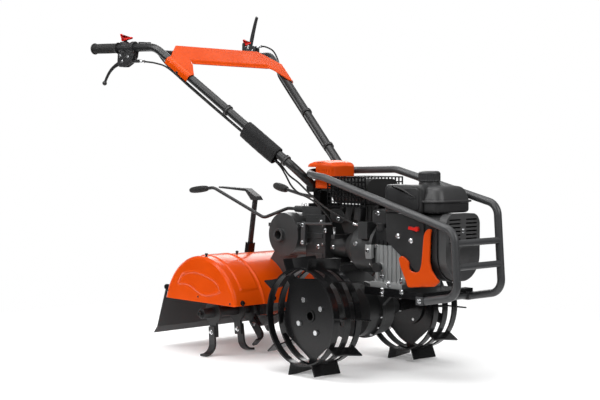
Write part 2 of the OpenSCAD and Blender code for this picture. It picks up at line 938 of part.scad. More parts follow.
// Outline of the final drive case, a drum with a leg up to the gearbox
module case_outline(r, wall) {
  translate([0, axle_z]) circle(r);
  polygon([[-r, axle_z], [leg_back + wall, box_z - wall], [leg_front - wall, box_z - wall],
    [r * cos(leg_angle), axle_z + r * sin(leg_angle)], [0, axle_z]]);
}

// The half of the case on the +Y side
module case_half() {
  inner = drum_half - case_wall;
  difference() {
    union() {
      plate_y(0, drum_half) case_outline(drum_r, 0);
      plate_y(0, rim_t) translate([0, axle_z]) circle(rim_r);
      plate_y(0, rim_t) polygon(web_path);
      box(leg_back, leg_front, 0, box_half, box_z - box_floor, box_z);
      cyl_y(0, axle_z, drum_half - weld, drum_half + horn_len, horn_r);
    }
    plate_y(-over, inner) case_outline(drum_r - case_wall, case_wall + box_floor);
    cyl_y(0, axle_z, 0, drum_half, bearing_r + run_gap);
    cyl_y(0, axle_z, 0, drum_half + horn_len + over, horn_bore);
    cyl_y(lay_x, lay_z, 0, inner, gear_m * (lay_teeth / 2 + tooth_high) + pinion_room);
    cyl_y(lay_x, lay_z, 0, inner + lay_seat, lay_r + run_gap);
  }
}

module final_case_right() {
  color("dimgray") placed() translate([0, -run_gap, 0]) mirror([0, 1, 0]) case_half();
}

module final_case_left() {
  color("dimgray") placed() translate([0, run_gap, 0]) case_half();
}

module gearbox_case() {
  foot = box_z + seat_gap;
  color("dimgray") placed() difference() {
    union() {
      box(box_x0, box_x1, -box_half, box_half, foot, box_split);
      box(leg_back, leg_front, -box_half, box_half, foot, foot + box_floor * 2);
      cyl_x(0, crank_z, box_x1 - weld, neck_x, neck_r);
      box(lug_x - lug_half, lug_x + lug_half, lug_y - lug_wide, -lug_half, lug_low, lug_z);
      for (s = [-1, 1], z = rib_z)
        box(box_x0 + rib_in, box_x1 - rib_in, s * box_half - rib_t, s * box_half + rib_t, z, z + rib_h);
    }
    box(box_x0 + case_wall, box_x1 - case_wall, case_wall - box_half, box_half - case_wall,
      foot + box_floor * 2, box_split + over);
    cyl_x(0, crank_z, box_x1 - case_wall - over, neck_x + over, neck_r - case_wall);
  }
}

module gearbox_cover() {
  base = box_split + seat_gap;
  color("dimgray") placed() difference() {
    union() {
      box(cover_x0, cover_x1, -cover_half, cover_half, base, box_top);
      box(box_x0 + cover_edge, box_x1, -box_half, box_half, base, base + cover_lip);
      cyl_x(tower_y, tower_z, tower_x, cover_x0 + weld, tower_r);
    }
    cyl_x(tower_y, tower_z, tower_x - over, cover_x0 + rail_in, shift_r + run_gap);
    cyl_z(range_x, range_y, box_top - range_seat, box_top + over, shift_r + run_gap);
  }
}

module bell_housing() {
  color("gray") placed() difference() {
    union() {
      translate([neck_x + seat_gap, 0, crank_z]) rotate([0, 90, 0])
        cylinder(h = cone_len, r1 = cone_r, r2 = bell_r);
      cyl_x(0, crank_z, neck_x + cone_len - weld, bell_x, bell_r);
      cyl_x(0, crank_z, bell_x - bell_lip, bell_x, bell_flange);
      box(governor_x0, governor_x1, -governor_y, -bell_r / 2, governor_z0, governor_z1);
    }
    cyl_x(0, crank_z, neck_x + cone_len, bell_x + over, bell_r - bell_wall);
    cyl_x(0, crank_z, neck_x - over, bell_x, neck_r - case_wall);
  }
}

// The covers on both sides of the rotor leg's upper end
module rear_case() {
  inner = -leg_half - seat_gap;
  color("dimgray") placed() {
    difference() {
      union() {
        cyl_y(rear_x, rear_z, -rear_y, inner, rear_r);
        box(rear_x - rear_r - flange_out, rear_x + rear_r, -rear_y + flange_in, inner, flange_z0, flange_z1);
        box(lid_x0, lid_x1, -rear_y + lid_in, inner, flange_z1 - weld, lid_z);
        cyl_y(socket_x, socket_z, -rear_y - socket_proud, -rear_y + weld, socket_r + socket_wall);
      }
      cyl_y(socket_x, socket_z, -rear_y - socket_proud - over, -rear_y - socket_proud + socket_len, socket_r);
    }
    cyl_y(rear_x, rear_z, -inner, rear_left, rear_r - rear_in);
  }
}

module leg_outline(inset) {
  v = unit([rotor_x - rear_x, rotor_z - rear_z]);
  n = [-v[1], v[0]];
  hi = [rear_x, rear_z];
  lo = [rotor_x, rotor_z];
  translate(hi) circle(rear_r - inset);
  translate(lo) circle(leg_low_r - inset);
  polygon([hi + n * (leg_neck - inset), lo + n * (leg_neck - inset), lo - n * (leg_neck - inset),
    hi - n * (leg_neck - inset)]);
}

module rotor_leg() {
  inner = leg_half - leg_wall;
  color("dimgray") placed() difference() {
    union() {
      plate_y(-leg_half, leg_half) leg_outline(0);
      cyl_y(rotor_x, rotor_z, -leg_half - boss_h, leg_half + boss_h, tine_shaft_r + boss_wall);
    }
    plate_y(-inner, inner) leg_outline(leg_wall);
    cyl_y(rear_x, rear_z, out_seat - leg_half, leg_half - out_seat, out_r + run_gap);
    cyl_y(rotor_x, rotor_z, -leg_half - boss_h - over, leg_half + boss_h + over, tine_shaft_r + run_gap);
  }
}

module drive_sprocket() {
  color("slategray") placed() {
    cyl_y(rear_x, rear_z, -sprocket_t / 2, sprocket_t / 2, sprocket_hi);
    cyl_y(rear_x, rear_z, out_end - leg_half, leg_half - out_end, out_r);
  }
}

// The chain's closed envelope round both sprockets
module loop_outline(extra) {
  v = unit([rotor_x - rear_x, rotor_z - rear_z]);
  span = norm([rotor_x - rear_x, rotor_z - rear_z]);
  lean = asin((sprocket_lo - sprocket_hi) / span);
  a = atan2(v[1], v[0]);
  up = [cos(a + 90 + lean), sin(a + 90 + lean)];
  down = [cos(a - 90 - lean), sin(a - 90 - lean)];
  hi = [rear_x, rear_z];
  lo = [rotor_x, rotor_z];
  translate(hi) circle(sprocket_hi + extra);
  translate(lo) circle(sprocket_lo + extra);
  polygon([hi + up * (sprocket_hi + extra), lo + up * (sprocket_lo + extra), lo,
    lo + down * (sprocket_lo + extra), hi + down * (sprocket_hi + extra), hi]);
}

module rotor_chain() {
  color("gray") placed() plate_y(-chain_w / 2, chain_w / 2) difference() {
    loop_outline(chain_t);
    loop_outline(seat_gap);
  }
}

module hex_y(x, z, y_face, side, r) {
  translate([x, y_face, z]) rotate([-90 * side, 0, 0]) cylinder(h = bolt_head_h, r = r, $fn = 6);
}

module case_bolts() {
  rim = rim_r - rim_bolt;
  face = -rim_t - run_gap;
  color("silver") placed() {
    for (a = rim_bolt_a) hex_y(rim * cos(a), axle_z + rim * sin(a), face, -1, rim_bolt);
    for (x = web_bolt_x) hex_y(x, web_bolt_z, face, -1, case_bolt);
    for (z = box_bolt_z, x = [box_x0 + box_bolt_in, box_x1 - box_bolt_in])
      hex_y(x, z, -box_half, -1, case_bolt);
    for (i = [0 : bell_bolt_n - 1]) rotate_bell(bell_bolt_phase + i * 360 / bell_bolt_n)
      translate([bell_x - bell_lip, bell_bolt_r, 0]) rotate([0, -90, 0])
        cylinder(h = bolt_head_h, r = case_bolt, $fn = 6);
    for (x = [base_x0 + base_bolt_x, base_x1 - base_bolt_x], s = [-1, 1])
      translate([x, s * (base_half - base_bolt_y), plate_z + seat_gap + base_h])
        cylinder(h = bolt_head_h, r = base_bolt, $fn = 6);
  }
}

// Turns the children round the crank axis
module rotate_bell(a) {
  translate([0, 0, crank_z]) rotate([a, 0, 0]) children();
}

module engine_plate() {
  z0 = plate_z - plate_h;
  color("black") placed() {
    box(plate_x0, plate_x1, -plate_half, plate_half, z0, plate_z);
    box(plate_step, plate_x1, -plate_wide, plate_wide, z0, plate_z);
    for (s = [-1, 1]) translate([0, s * plate_half, 0])
      box(plate_x0, plate_step, -plate_lip_t, plate_lip_t, z0 - plate_lip_h, plate_z);
  }
}

// The crankcase with its barrel leaning to the left
module crankcase() {
  z0 = plate_z + seat_gap;
  color("silver") placed() difference() {
    union() {
      box(base_x0, base_x1, -base_half, base_half, z0, z0 + base_h);
      box(crankcase_x0, crankcase_x1, -crankcase_half, crankcase_half, z0 + base_h - weld, crankcase_top);
      for (i = [0 : case_rib_n - 1]) translate([crankcase_x0 + case_rib_x + i * case_rib_pitch, 0, 0])
        box(0, case_rib_w, -crankcase_half - case_rib_h, weld - crankcase_half, z0 + base_h - weld,
          crankcase_top - case_rib_drop);
      translate([barrel_x, barrel_y, barrel_z]) rotate([barrel_tilt, 0, 0]) {
        box(-barrel_w / 2, barrel_w / 2, -barrel_w / 2, barrel_w / 2, 0, barrel_len);
        for (i = [0 : fin_n - 1]) box(-fin_w / 2, fin_w / 2, -fin_w / 2, fin_w / 2,
          barrel_len - fin_t - i * fin_pitch, barrel_len - i * fin_pitch);
      }
      cyl_y(oil_x, oil_z, oil_y, weld - crankcase_half, oil_boss);
    }
    cyl_x(0, crank_z, crankcase_x0 + chamber_wall, crankcase_x1 - chamber_wall, chamber_r);
    cyl_x(0, crank_z, crankcase_x0 - over, crankcase_x1 + over, crank_r + run_gap);
    cyl_y(oil_x, oil_z, oil_y - over, oil_y + oil_deep, oil_bore);
  }
}

module cylinder_head() {
  half = fin_w / 2;
  deck = barrel_len + head_len - valve_h;
  color("silver") placed() translate([barrel_x, barrel_y, barrel_z]) rotate([barrel_tilt, 0, 0]) {
    box(-half, half, -half, half, barrel_len + seat_gap, deck);
    translate([0, 0, deck - weld]) linear_extrude(valve_h + weld)
      round_box(valve_x - half, half - valve_x, valve_y - half, half - valve_y, valve_round);
  }
}

module crankshaft() {
  color("gray") placed() {
    cyl_x(0, crank_z, shaft_x0, shaft_end, crank_r);
    for (x = crank_web_x) cyl_x(0, crank_z, x, x + crank_web_t, crank_web_r);
    cyl_x(throw_y, crank_z, crank_web_x[0] + crank_web_t - weld, crank_web_x[1] + weld, throw_r);
  }
}

module flywheel() {
  color("dimgray") placed() difference() {
    union() {
      cyl_x(0, crank_z, fly_x, fly_x + fly_t, fly_r);
      cyl_x(0, crank_z, fly_x, fly_x + fly_hub, crank_r + case_wall);
      for (i = [0 : vane_n - 1]) rotate_bell(i * 360 / vane_n) translate([fly_x + fly_t, 0, 0])
        box(-weld, vane_len, -vane_half, vane_half, vane_in, fly_r - 2 * vane_half);
    }
    cyl_x(0, crank_z, fly_x - over, fly_x + fly_hub + over, crank_r + run_gap);
  }
}

module clutch_drum() {
  color("gray") placed() difference() {
    cyl_x(0, crank_z, clutch_x0, clutch_x1, clutch_r);
    cyl_x(0, crank_z, clutch_x0 - over, clutch_x1 - clutch_floor, clutch_r - clutch_wall);
    cyl_x(0, crank_z, clutch_x0, clutch_x1 + over, crank_r + run_gap);
  }
}

// Outline seen from the front: a half round below, straight sides and round top corners
module front_outline(r, side, top, corner) {
  translate([0, crank_z]) circle(r);
  translate([-r, crank_z]) square([2 * r, side - crank_z]);
  round_box(-r, r, side - 2 * corner, top, corner);
}

module fan_shroud() {
  r = shroud_r - shroud_wall;
  top = shroud_top - shroud_wall;
  color("#2a2a2a") placed() difference() {
    plate_x(shroud_x0, shroud_x1) front_outline(shroud_r, shroud_side, shroud_top, shroud_corner);
    plate_x(shroud_x0 + shroud_wall, shroud_x1 + over)
      front_outline(r, shroud_side, top, shroud_corner - shroud_wall);
    cyl_x(0, crank_z, shroud_x0 - over, shroud_x1, shaft_room);
    for (i = [0 : vent_n - 1]) translate([vent_x + i * vent_pitch, 0, 0])
      box(0, vent_w, -shroud_r - over, 0, vent_low, vent_high);
  }
}

module starter_cover() {
  x0 = shroud_x1 + seat_gap;
  r = cover_r - shroud_wall;
  top = cover_top - shroud_wall;
  color("#2a2a2a") placed() difference() {
    union() {
      plate_x(x0, cover_x) front_outline(cover_r, shroud_side, cover_top, shroud_corner);
      cyl_x(0, crank_z, cover_x - weld, cover_x + badge_h, badge_r);
    }
    plate_x(x0 - over, cover_x - shroud_wall) front_outline(r, shroud_side, top, shroud_corner - shroud_wall);
    for (s = [-1, 1], i = [0 : grille_n - 1]) translate([0, s * grille_y, grille_z + i * grille_pitch])
      box(cover_x - 2 * shroud_wall, cover_x + over, -grille_half, grille_half, 0, grille_w);
  }
}

module tank_outline(lip) {
  translate([tank_x0 - lip, tank_right]) square([tank_x1 - tank_x0 + 2 * lip, tank_half - tank_right + lip]);
  translate([tank_step, -tank_half - lip]) square([tank_x1 - tank_step + lip, 2 * tank_half + 2 * lip]);
}

// The room above one sloping side of the tank, whose foot lies on the children's X axis
module slope_room() {
  rotate([tank_slope, 0, 0]) translate([-tank_x1, 0, 0]) cube([2 * tank_x1, tank_x1, tank_x1]);
}

module fuel_tank() {
  top = tank_z + tank_h;
  seam = tank_z + seam_h + seam_t;
  color("#222222") placed() difference() {
    union() {
      translate([0, 0, tank_z]) linear_extrude(tank_h) tank_outline(0);
      translate([0, 0, tank_z + seam_h]) linear_extrude(seam_t) tank_outline(seam_lip);
      cyl_z(cap_x, 0, top - weld, cap_z - seat_gap, cap_r - 1);
    }
    translate([0, tank_half, seam]) slope_room();
    translate([0, -tank_half, seam]) rotate(180) slope_room();
    translate([tank_x1, 0, seam]) rotate(-90) slope_room();
    translate([tank_x0, 0, seam]) rotate(90) slope_room();
    box(tank_x0 + tank_in, tank_x1 - tank_in, tank_right + tank_wall, tank_half - tank_in,
      tank_z + tank_wall, top - tank_wall);
    cyl_z(cap_x, 0, top - tank_wall - over, cap_z + over, neck_fit + run_gap);
  }
}

module fuel_cap() {
  color("black") placed() {
    cyl_z(cap_x, 0, cap_z, cap_z + cap_h, cap_r);
    cyl_z(cap_x, 0, cap_z - cap_thread, cap_z + weld, neck_fit);
    for (i = [0 : knurl_n - 1]) translate([cap_x, 0, cap_z]) rotate(i * 360 / knurl_n)
      box(cap_r - weld, cap_r + knurl_h, -knurl_half, knurl_half, knurl_low, cap_h - knurl_top);
  }
}

module air_cleaner() {
  z0 = shroud_top + seat_gap;
  color("#222222") placed() difference() {
    union() {
      plate_y(air_y0, air_y1) round_box(air_x0, air_x1, z0, air_z1, air_round);
      plate_y(air_y0 - air_relief, air_y0 + weld)
        round_box(air_x0 + relief_in, air_x1 - relief_in, z0 + relief_in, air_z1 - relief_in, relief_round);
      cyl_y(intake_x, z0 + intake_z, air_y1 - weld, tank_right - seat_gap, intake_r);
    }
    box(air_x0 - over, air_x1 + over, air_y0 + air_foot, air_y1 + over, z0 - over, z0 + air_lift);
  }
}

module side_outline() {
  polygon([[side_x0, shroud_top], [side_x1, shroud_top], [side_x1, side_low], [side_x1 - side_toe, side_low],
    [side_x0 + side_in, side_mid]]);
}

module side_panel() {
  color("#1c1c1c") placed() difference() {
    union() {
      plate_y(side_y0, side_y0 + side_t) side_outline();
      cyl_y(boss_high[0], boss_high[1], side_y0 + side_t - weld, -crankcase_half - seat_gap, side_boss);
      cyl_y(boss_low[0], boss_low[1], side_y0 + side_t - weld, -shroud_r - seat_gap, side_boss);
    }
    cyl_y(choke_x, choke_z, side_y0 - over, side_y0 + side_t + over, stud_r + run_gap);
  }
}

module side_trim() {
  face = side_y0 - seat_gap;
  color("orangered") placed() {
    plate_y(face - trim_t, face) polygon([for (p = trim_path) [side_x1, crank_z] + p]);
    cyl_y(trim_pad[0], trim_pad[1], face - weld, -shroud_r - seat_gap, side_boss);
  }
}

module choke_lever() {
  y = side_y0 - seat_gap;
  color("red") placed() {
    cyl_y(choke_x, choke_z, y - choke_h, y, choke_r);
    cyl_y(choke_x, choke_z, y - weld, side_y0 + side_t, stud_r);
    plate_y(y - choke_h, y - choke_in) polygon([for (p = choke_path) [choke_x, choke_z] + p]);
  }
}

module oil_cap() {
  color("black") placed() {
    cyl_y(oil_x, oil_z, oil_y - oil_cap_h, oil_y - seat_gap, oil_r);
    cyl_y(oil_x, oil_z, oil_y - weld, oil_y + oil_plug, oil_bore - run_gap);
  }
}

module muffler() {
  side = muffler_half + band_h;
  stay_z = crank_z + sqrt(pow(bell_r, 2) - pow(stay_y - stay_half, 2)) + seat_gap;
  color("#333333") placed() {
    plate_x(muffler_x0, muffler_x1)
      round_box(-muffler_half, muffler_half, muffler_z0, muffler_z1, muffler_round);
    for (x = band_x)
      box(x, x + band_w, -side, side, muffler_z0 + muffler_round, muffler_z1 - muffler_round);
    for (s = [-1, 1]) translate([stay_x, s * stay_y, 0])
      box(0, stay_w, -stay_half, stay_half, stay_z, muffler_z0 + weld);
    difference() {
      rod(pipe_from, pipe_to, pipe_r);
      box(barrel_x - fin_w / 2 - seat_gap, barrel_x, 0, 2 * fin_w, crank_z, muffler_z1);
    }
  }
}

module mesh_outline(a0, a1, b0, b1) {
  na = floor((a1 - a0 - mesh_wire) / mesh_pitch);
  nb = floor((b1 - b0 - mesh_wire) / mesh_pitch);
  da = (a1 - a0 - mesh_wire) / na;
  db = (b1 - b0 - mesh_wire) / nb;
  difference() {
    translate([a0, b0]) square([a1 - a0, b1 - b0]);
    for (i = [0 : na - 1], j = [0 : nb - 1]) translate([a0 + mesh_wire + i * da, b0 + mesh_wire + j * db])
      square([da - mesh_wire, db - mesh_wire]);
  }
}

module muffler_guard() {
  color("black") placed() {
    for (s = [-1, 1]) plate_y(s * mesh_half - mesh_t / 2, s * mesh_half + mesh_t / 2)
      mesh_outline(mesh_x0, mesh_x1, mesh_z0, mesh_z1);
    translate([0, 0, mesh_z1 - mesh_t]) linear_extrude(mesh_t)
      mesh_outline(mesh_x0, mesh_x1, -mesh_half, mesh_half);
    for (s = [0, 1], x = mesh_tab_x) mirror([0, s, 0])
      box(x, x + mesh_tab, muffler_half + band_h + seat_gap, mesh_half, mesh_tab_z, mesh_tab_z + mesh_tab);
  }
}

// Cover over the loop's rear bend, with a skirt inside the loop
module handle_cover() {
  color("orangered") placed() difference() {
    plate_y(-shell_half, shell_half) polygon(shell_path);
    plate_y(shell_wall - shell_half, shell_half - shell_wall) polygon(shell_hollow);
    for (s = [0, 1]) mirror([0, s, 0]) translate([0, 0, shell_foot - over])
      linear_extrude(shell_z - shell_foot + over) polygon(shell_corner);
  }
}

// The tube runs from the right foot round the loop to the left foot
module guard_loop() {
  color("dimgray") placed() {
    bent_tube(guard_path, guard_bends, guard_r);
    for (z = bar_z) {
      x = front_x + (front_z - z) * (foot_x - front_x) / (front_z - foot_z);
      rod([x, -guard_y, z], [x, guard_y, z], bar_r);
    }
  }
}

module guard_feet() {
  z1 = plate_z - plate_h - seat_gap;
  color("dimgray") placed() {
    for (s = [-1, 1]) translate([0, s * (guard_y + foot_in), 0])
      box(plate_step + foot_in, plate_x1, -foot_half, foot_half, z1 - foot_h, z1);
    cyl_y(plate_step + cross_x, z1 - foot_h / 2, -guard_y, guard_y, cross_r);
  }
}

module handle_bracket() {
  half = cover_half - sleeve_wall;
  base = box_top + seat_gap;
  color("#303030") placed() difference() {
    union() {
      cyl_y(yoke_x, yoke_z, -sleeve_half, sleeve_half, yoke_r + sleeve_wall);
      box(yoke_x - post_half, yoke_x + post_half, -sleeve_half, sleeve_half, base, yoke_z);
      box(yoke_x - foot_back, cover_x1 - cover_edge, -half, half, base, base + foot_t);
    }
    cyl_y(yoke_x, yoke_z, -sleeve_half - over, sleeve_half + over, yoke_r + run_gap);
  }
}

module handle_frame() {
  back = low_corner + tube_back * arm_dir;
  color("#3a3a3a") placed() {
    bent_tube(arm_path, arm_bends, arm_r);
    bent_tube(mirrored(arm_path), arm_bends, arm_r);
    cyl_y(yoke_x, yoke_z, -yoke_half, yoke_half, yoke_r);
    cyl_y(back[0], back[2], back[1], -back[1], tube_back_r);
  }
}

// Puts the children in the plane of both arms, +X down the slope
module arm_plane() {
  translate([panel_mid[0], 0, panel_mid[2]]) rotate([0, plane_tilt, 0]) children();
}

function fold_y(x) = -panel_mid[1] - x * arm_spread + panel_fold;

module console_panel() {
  z0 = arm_r + seat_gap;
  half = [[panel_low, fold_y(panel_low) - panel_leg], [panel_low, fold_y(panel_low)],
    [panel_high, fold_y(panel_high)], [panel_tip, panel_tip_part * fold_y(panel_tip)]];
  dip = [panel_dip, panel_dip_part * fold_y(panel_dip)];
  color("orangered") placed() arm_plane() {
    translate([0, 0, z0]) linear_extrude(panel_t) polygon(concat([dip], half,
      [for (i = [3 : -1 : 0]) [half[i][0], -half[i][1]]], [[dip[0], -dip[1]]]));
    for (s = [0, 1]) mirror([0, s, 0]) translate([0, 0, z0 - panel_skirt]) linear_extrude(panel_skirt + weld)
      polygon([half[1], half[2], half[2] - [0, panel_t], half[1] - [0, panel_t]]);
  }
}

// Puts the children on a grip's axis: +X to the rear, +Z up, +Y outwards
module grip_frame(left) {
  mirror([0, left ? 1 : 0, 0]) translate(high_corner) rotate([0, -grip_rise, grip_yaw]) children();
}

module hand_grips() {
  start = grip_span - grip_len;
  color("#1a1a1a") placed() for (left = [false, true]) grip_frame(left) difference() {
    union() {
      cyl_x(0, 0, start, grip_span + grip_end, grip_r);
      cyl_x(0, 0, start, start + grip_lip, grip_flange);
      cyl_x(0, 0, grip_span - grip_cap, grip_span + grip_end, grip_flange);
    }
    cyl_x(0, 0, start - over, grip_span + run_gap, arm_r + run_gap);
  }
}

module lever_clamp() {
  cyl_x(0, 0, clamp_d0, clamp_d1, clamp_r);
}

// The ear that carries a latch on the inner side of its pin
module latch_ear(d, z0, z1) {
  box(d - latch_post, d + latch_post, -mount_half, -latch_t / 2 - seat_gap, z0, z1);
}

// A clip round the right arm at a distance up its straight part
module arm_clip(t) {
  along(low_corner + t * arm_dir, high_corner) difference() {
    union() {
      cylinder(h = clip_w, r = clip_r);
      box(-clip_w / 2, clip_w / 2, 0, clip_r + clip_lug, 0, clip_w);
    }
    translate([0, 0, -over]) cylinder(h = clip_w + 2 * over, r = arm_r + run_gap);
  }
}

module control_brackets() {
  left_end = left_latch_d + mount_half - grip_lip;
  color("black") placed() {
    for (t = [clip_low, clip_high]) arm_clip(t);
    for (t = [clip_left, clip_high]) mirror([0, 1, 0]) arm_clip(t);
    grip_frame(false) difference() {
      union() {
        lever_clamp();
        box(mount_d0, mount_d1, -mount_half, mount_half, mount_low, weld - arm_r);
        box(clamp_d1 - latch_eye, latch_d + latch_eye, -mount_half, mount_half, 0, latch_z - latch_base);
        latch_ear(latch_d, latch_z - latch_low, latch_z + latch_post);
        cyl_x(0, lever_z, mount_d0 - adjuster_len, mount_d0 + weld, adjuster_r);
        translate([throttle_d, 0, 0]) {
          box(-throttle_arm, throttle_arm, -throttle_y, 0, -throttle_half, throttle_half);
          cyl_z(0, -throttle_y, throttle_low, throttle_top, throttle_r);
        }
      }
      cyl_x(0, 0, mount_d0 - over, mount_d1 + over, arm_r + run_gap);
      box(lever_d - lever_slot, mount_d1 + over, -slot_half, slot_half, mount_low - over, -arm_r - slot_roof);
      cyl_z(throttle_d, -throttle_y, throttle_deep, throttle_top + over, throttle_pin + run_gap);
    }
    grip_frame(false) cyl_y(lever_d, lever_z, -mount_half, mount_half, lever_pin);
    grip_frame(false) cyl_y(latch_d, latch_z, -mount_half, latch_t / 2, lever_pin);
    grip_frame(true) difference() {
      union() {
        lever_clamp();
        box(mount_d0, left_end, -mount_half, mount_half, arm_r - weld, mount_high);
        latch_ear(left_latch_d, arm_r, left_latch_z + latch_post);
      }
      cyl_x(0, 0, mount_d0 - over, left_end + over, arm_r + run_gap);
      box(left_d - left_slot[0], left_d + left_slot[1], -slot_half, slot_half, arm_r + left_floor,
        mount_high + over);
      box(left_latch_d - latch_room[0], left_latch_d + latch_room[1], -latch_t / 2 - seat_gap,
        mount_half + over, left_latch_z - latch_room[2], mount_high + over);
    }
    grip_frame(true) cyl_y(left_d, left_z, -mount_half, mount_half, lever_pin);
    grip_frame(true) cyl_y(left_latch_d, left_latch_z, -mount_half, latch_t / 2, lever_pin);
  }
}

module right_lever() {
  color("#1a1a1a") placed() grip_frame(false) {
    difference() {
      plate_y(-lever_t / 2, lever_t / 2) translate([lever_d, lever_z]) {
        circle(lever_eye);
        polygon(lever_path);
      }
      cyl_y(lever_d, lever_z, -lever_t, lever_t, lever_pin + run_gap);
    }
    translate([lever_d + lever_tip[0], 0, lever_z + lever_tip[1]]) sphere(lever_ball);
  }
}

module left_lever() {
  color("#1a1a1a") placed() grip_frame(true) difference() {
    plate_y(-lever_t / 2, lever_t / 2) translate([left_d, left_z]) {
      circle(left_eye);
      polygon(left_path);
    }
    cyl_y(left_d, left_z, -lever_t, lever_t, lever_pin + run_gap);
  }
}

module latch(d, z) {
  difference() {
    union() {
      cyl_y(d, z, -latch_t / 2 - run_gap, latch_t / 2 + run_gap, latch_eye);
      plate_y(-latch_t / 2, latch_t / 2) translate([d, z]) polygon(latch_path);
    }
    cyl_y(d, z, -latch_t, latch_t, lever_pin + run_gap);
  }
}

module right_latch() {
  color("red") placed() grip_frame(false) latch(latch_d, latch_z);
}

module left_latch() {
  color("red") placed() grip_frame(true) difference() {
    latch(left_latch_d, left_latch_z);
    box(left_d - latch_cut[0], left_d + latch_cut[1], -slot_half, slot_half, left_latch_z - latch_cut[2],
      left_latch_z + latch_cut[3]);
  }
}

module throttle_lever() {
  base = throttle_top + seat_gap;
  color("black") placed() grip_frame(false) translate([throttle_d, -throttle_y, 0]) {
    cyl_z(0, 0, base, throttle_top + throttle_h, throttle_r);
    cyl_z(0, 0, throttle_deep + weld, base + weld, throttle_pin);
    box(-finger_len, 0, -finger_half, finger_half, finger_z[0], finger_z[1]);
  }
}

// Points the children up the right arm from its lower straight end, +X under the arm
module arm_frame() {
  along(low_corner + sleeve_from * arm_dir, high_corner) children();
}

module cable_sleeve() {
  low_r = sleeve_r - sleeve_thin;
  color("#262626") placed() arm_frame() linear_extrude(sleeve_len) difference() {
    union() {
      circle(sleeve_r);
      translate([sleeve_drop, 0]) circle(low_r);
      polygon([[0, -sleeve_r], [sleeve_drop, -low_r], [sleeve_drop, low_r], [0, sleeve_r]]);
    }
    circle(arm_r + run_gap);
    translate([sleeve_drop + channel_drop, 0]) circle(sleeve_r - channel_in);
  }
}

module cables() {
  color("#111111") placed() {
    cord(smooth(clutch_route, 3), cable_r);
    cord(smooth(throttle_route, 3), cable_r);
    cord(smooth(left_route, 3), cable_r);
  }
}

// A grip along +Z whose radius swells from one end and closes at the other
module oval_grip(l, r) {
  rotate_extrude() polygon([for (i = [0 : knob_steps]) let (a = 180 * i / knob_steps)
    [i % knob_steps == 0 ? 0 : r * pow(sin(a), knob_power), l * (1 - cos(a)) / 2]]);
}

module shift_lever() {
  n = len(shift_path);
  tip_dir = unit(shift_path[n - 2] - shift_path[n - 1]);
  color("dimgray") placed() {
    bent_tube(shift_path, [0, shift_bend, shift_bend, shift_bend, 0], shift_r);
    along(shift_path[n - 1] + knob_len * tip_dir, shift_path[n - 1] - knob_r * tip_dir)
      oval_grip(knob_len + knob_r, knob_r);
  }
}

module range_lever() {
  n = len(range_path);
  tip_dir = unit(range_path[n - 1] - range_path[n - 2]);
  color("dimgray") placed() {
    bent_tube(range_path, range_bends, shift_r);
    cyl_z(range_x, range_y, box_top + seat_gap, box_top + range_collar, shift_r + collar_wall);
    along(range_path[n - 1] - range_knob_in * tip_dir, range_path[n - 1] + tip_dir)
      oval_grip(knob_len, range_knob_r);
  }
}

// The arched sheet above the hood's lower edge
module arch_outline(r0, r1) {
  difference() {
    translate([hood_x, rotor_z]) circle(r1, $fn = 96);
    translate([hood_x, rotor_z]) circle(r0, $fn = 96);
    translate([hood_x - 2 * r1, hood_z - 2 * r1]) square([4 * r1, 2 * r1]);
  }
}

module depth_frame() {
  translate(depth_low) rotate([0, depth_tilt, 0]) children();
}

// The post's own section, wider by a gap all round, between two heights along it
module depth_hole(gap, z0, z1) {
  depth_frame() box(-depth_x / 2 - gap, depth_x / 2 + gap, -depth_y / 2 - gap, depth_y / 2 + gap, z0, z1);
}

module hood_center() {
  color("orangered") placed() difference() {
    plate_y(-hood_mid, hood_mid) arch_outline(hood_r - hood_t, hood_r);
    plate_y(-leg_half - seat_gap, leg_half + seat_gap) leg_outline(-seat_gap);
    depth_hole(over, -depth_cut, depth_cut);
  }
}

module hood_wing() {
  y0 = hood_mid + seat_gap;
  plate_y(y0, hood_half) arch_outline(hood_r - hood_t, hood_r);
  plate_y(hood_half - hood_t, hood_half) arch_outline(0, hood_r);
  plate_y(y0, y0 + rim_w) arch_outline(hood_r - weld, hood_r + rim_h);
}

module hood_wings() {
  color("orangered") placed() for (s = [0, 1]) mirror([0, s, 0]) hood_wing();
}

module flap_hinge() {
  color("#222222") placed() {
    cyl_y(flap_x, flap_z, -hinge_half, hinge_half, hinge_r);
    difference() {
      for (y = ear_y) {
        box(flap_x, hood_edge + ear_in, y - ear_t / 2, y + ear_t / 2, flap_z - ear_low, flap_z + ear_high);
        cyl_y(flap_x, flap_z, y - ear_t / 2, y + ear_t / 2, hinge_r + ear_wall);
      }
      cyl_y(hood_x, rotor_z, -hood_half, hood_half, hood_r + seat_gap);
    }
  }
}

// The flap hangs between the hinge's ears
module rear_flap() {
  room = ear_t / 2 + ear_gap;
  color("#2a2a2a") placed() difference() {
    union() {
      cyl_y(flap_x, flap_z, -flap_half, flap_half, knuckle_r);
      plate_y(-flap_half, flap_half) polygon([[flap_top, flap_z], flap_knee - [flap_t, 0], flap_lip,
        flap_lip + [lip_out, -flap_t], flap_knee, [flap_top + flap_t, flap_z]]);
    }
    cyl_y(flap_x, flap_z, -hood_half, hood_half, hinge_r + run_gap);
    for (y = ear_y) box(flap_x - 2 * knuckle_r, flap_x + ear_room, y - room, y + room, flap_z - knuckle_room,
      flap_z + knuckle_room);
  }
}

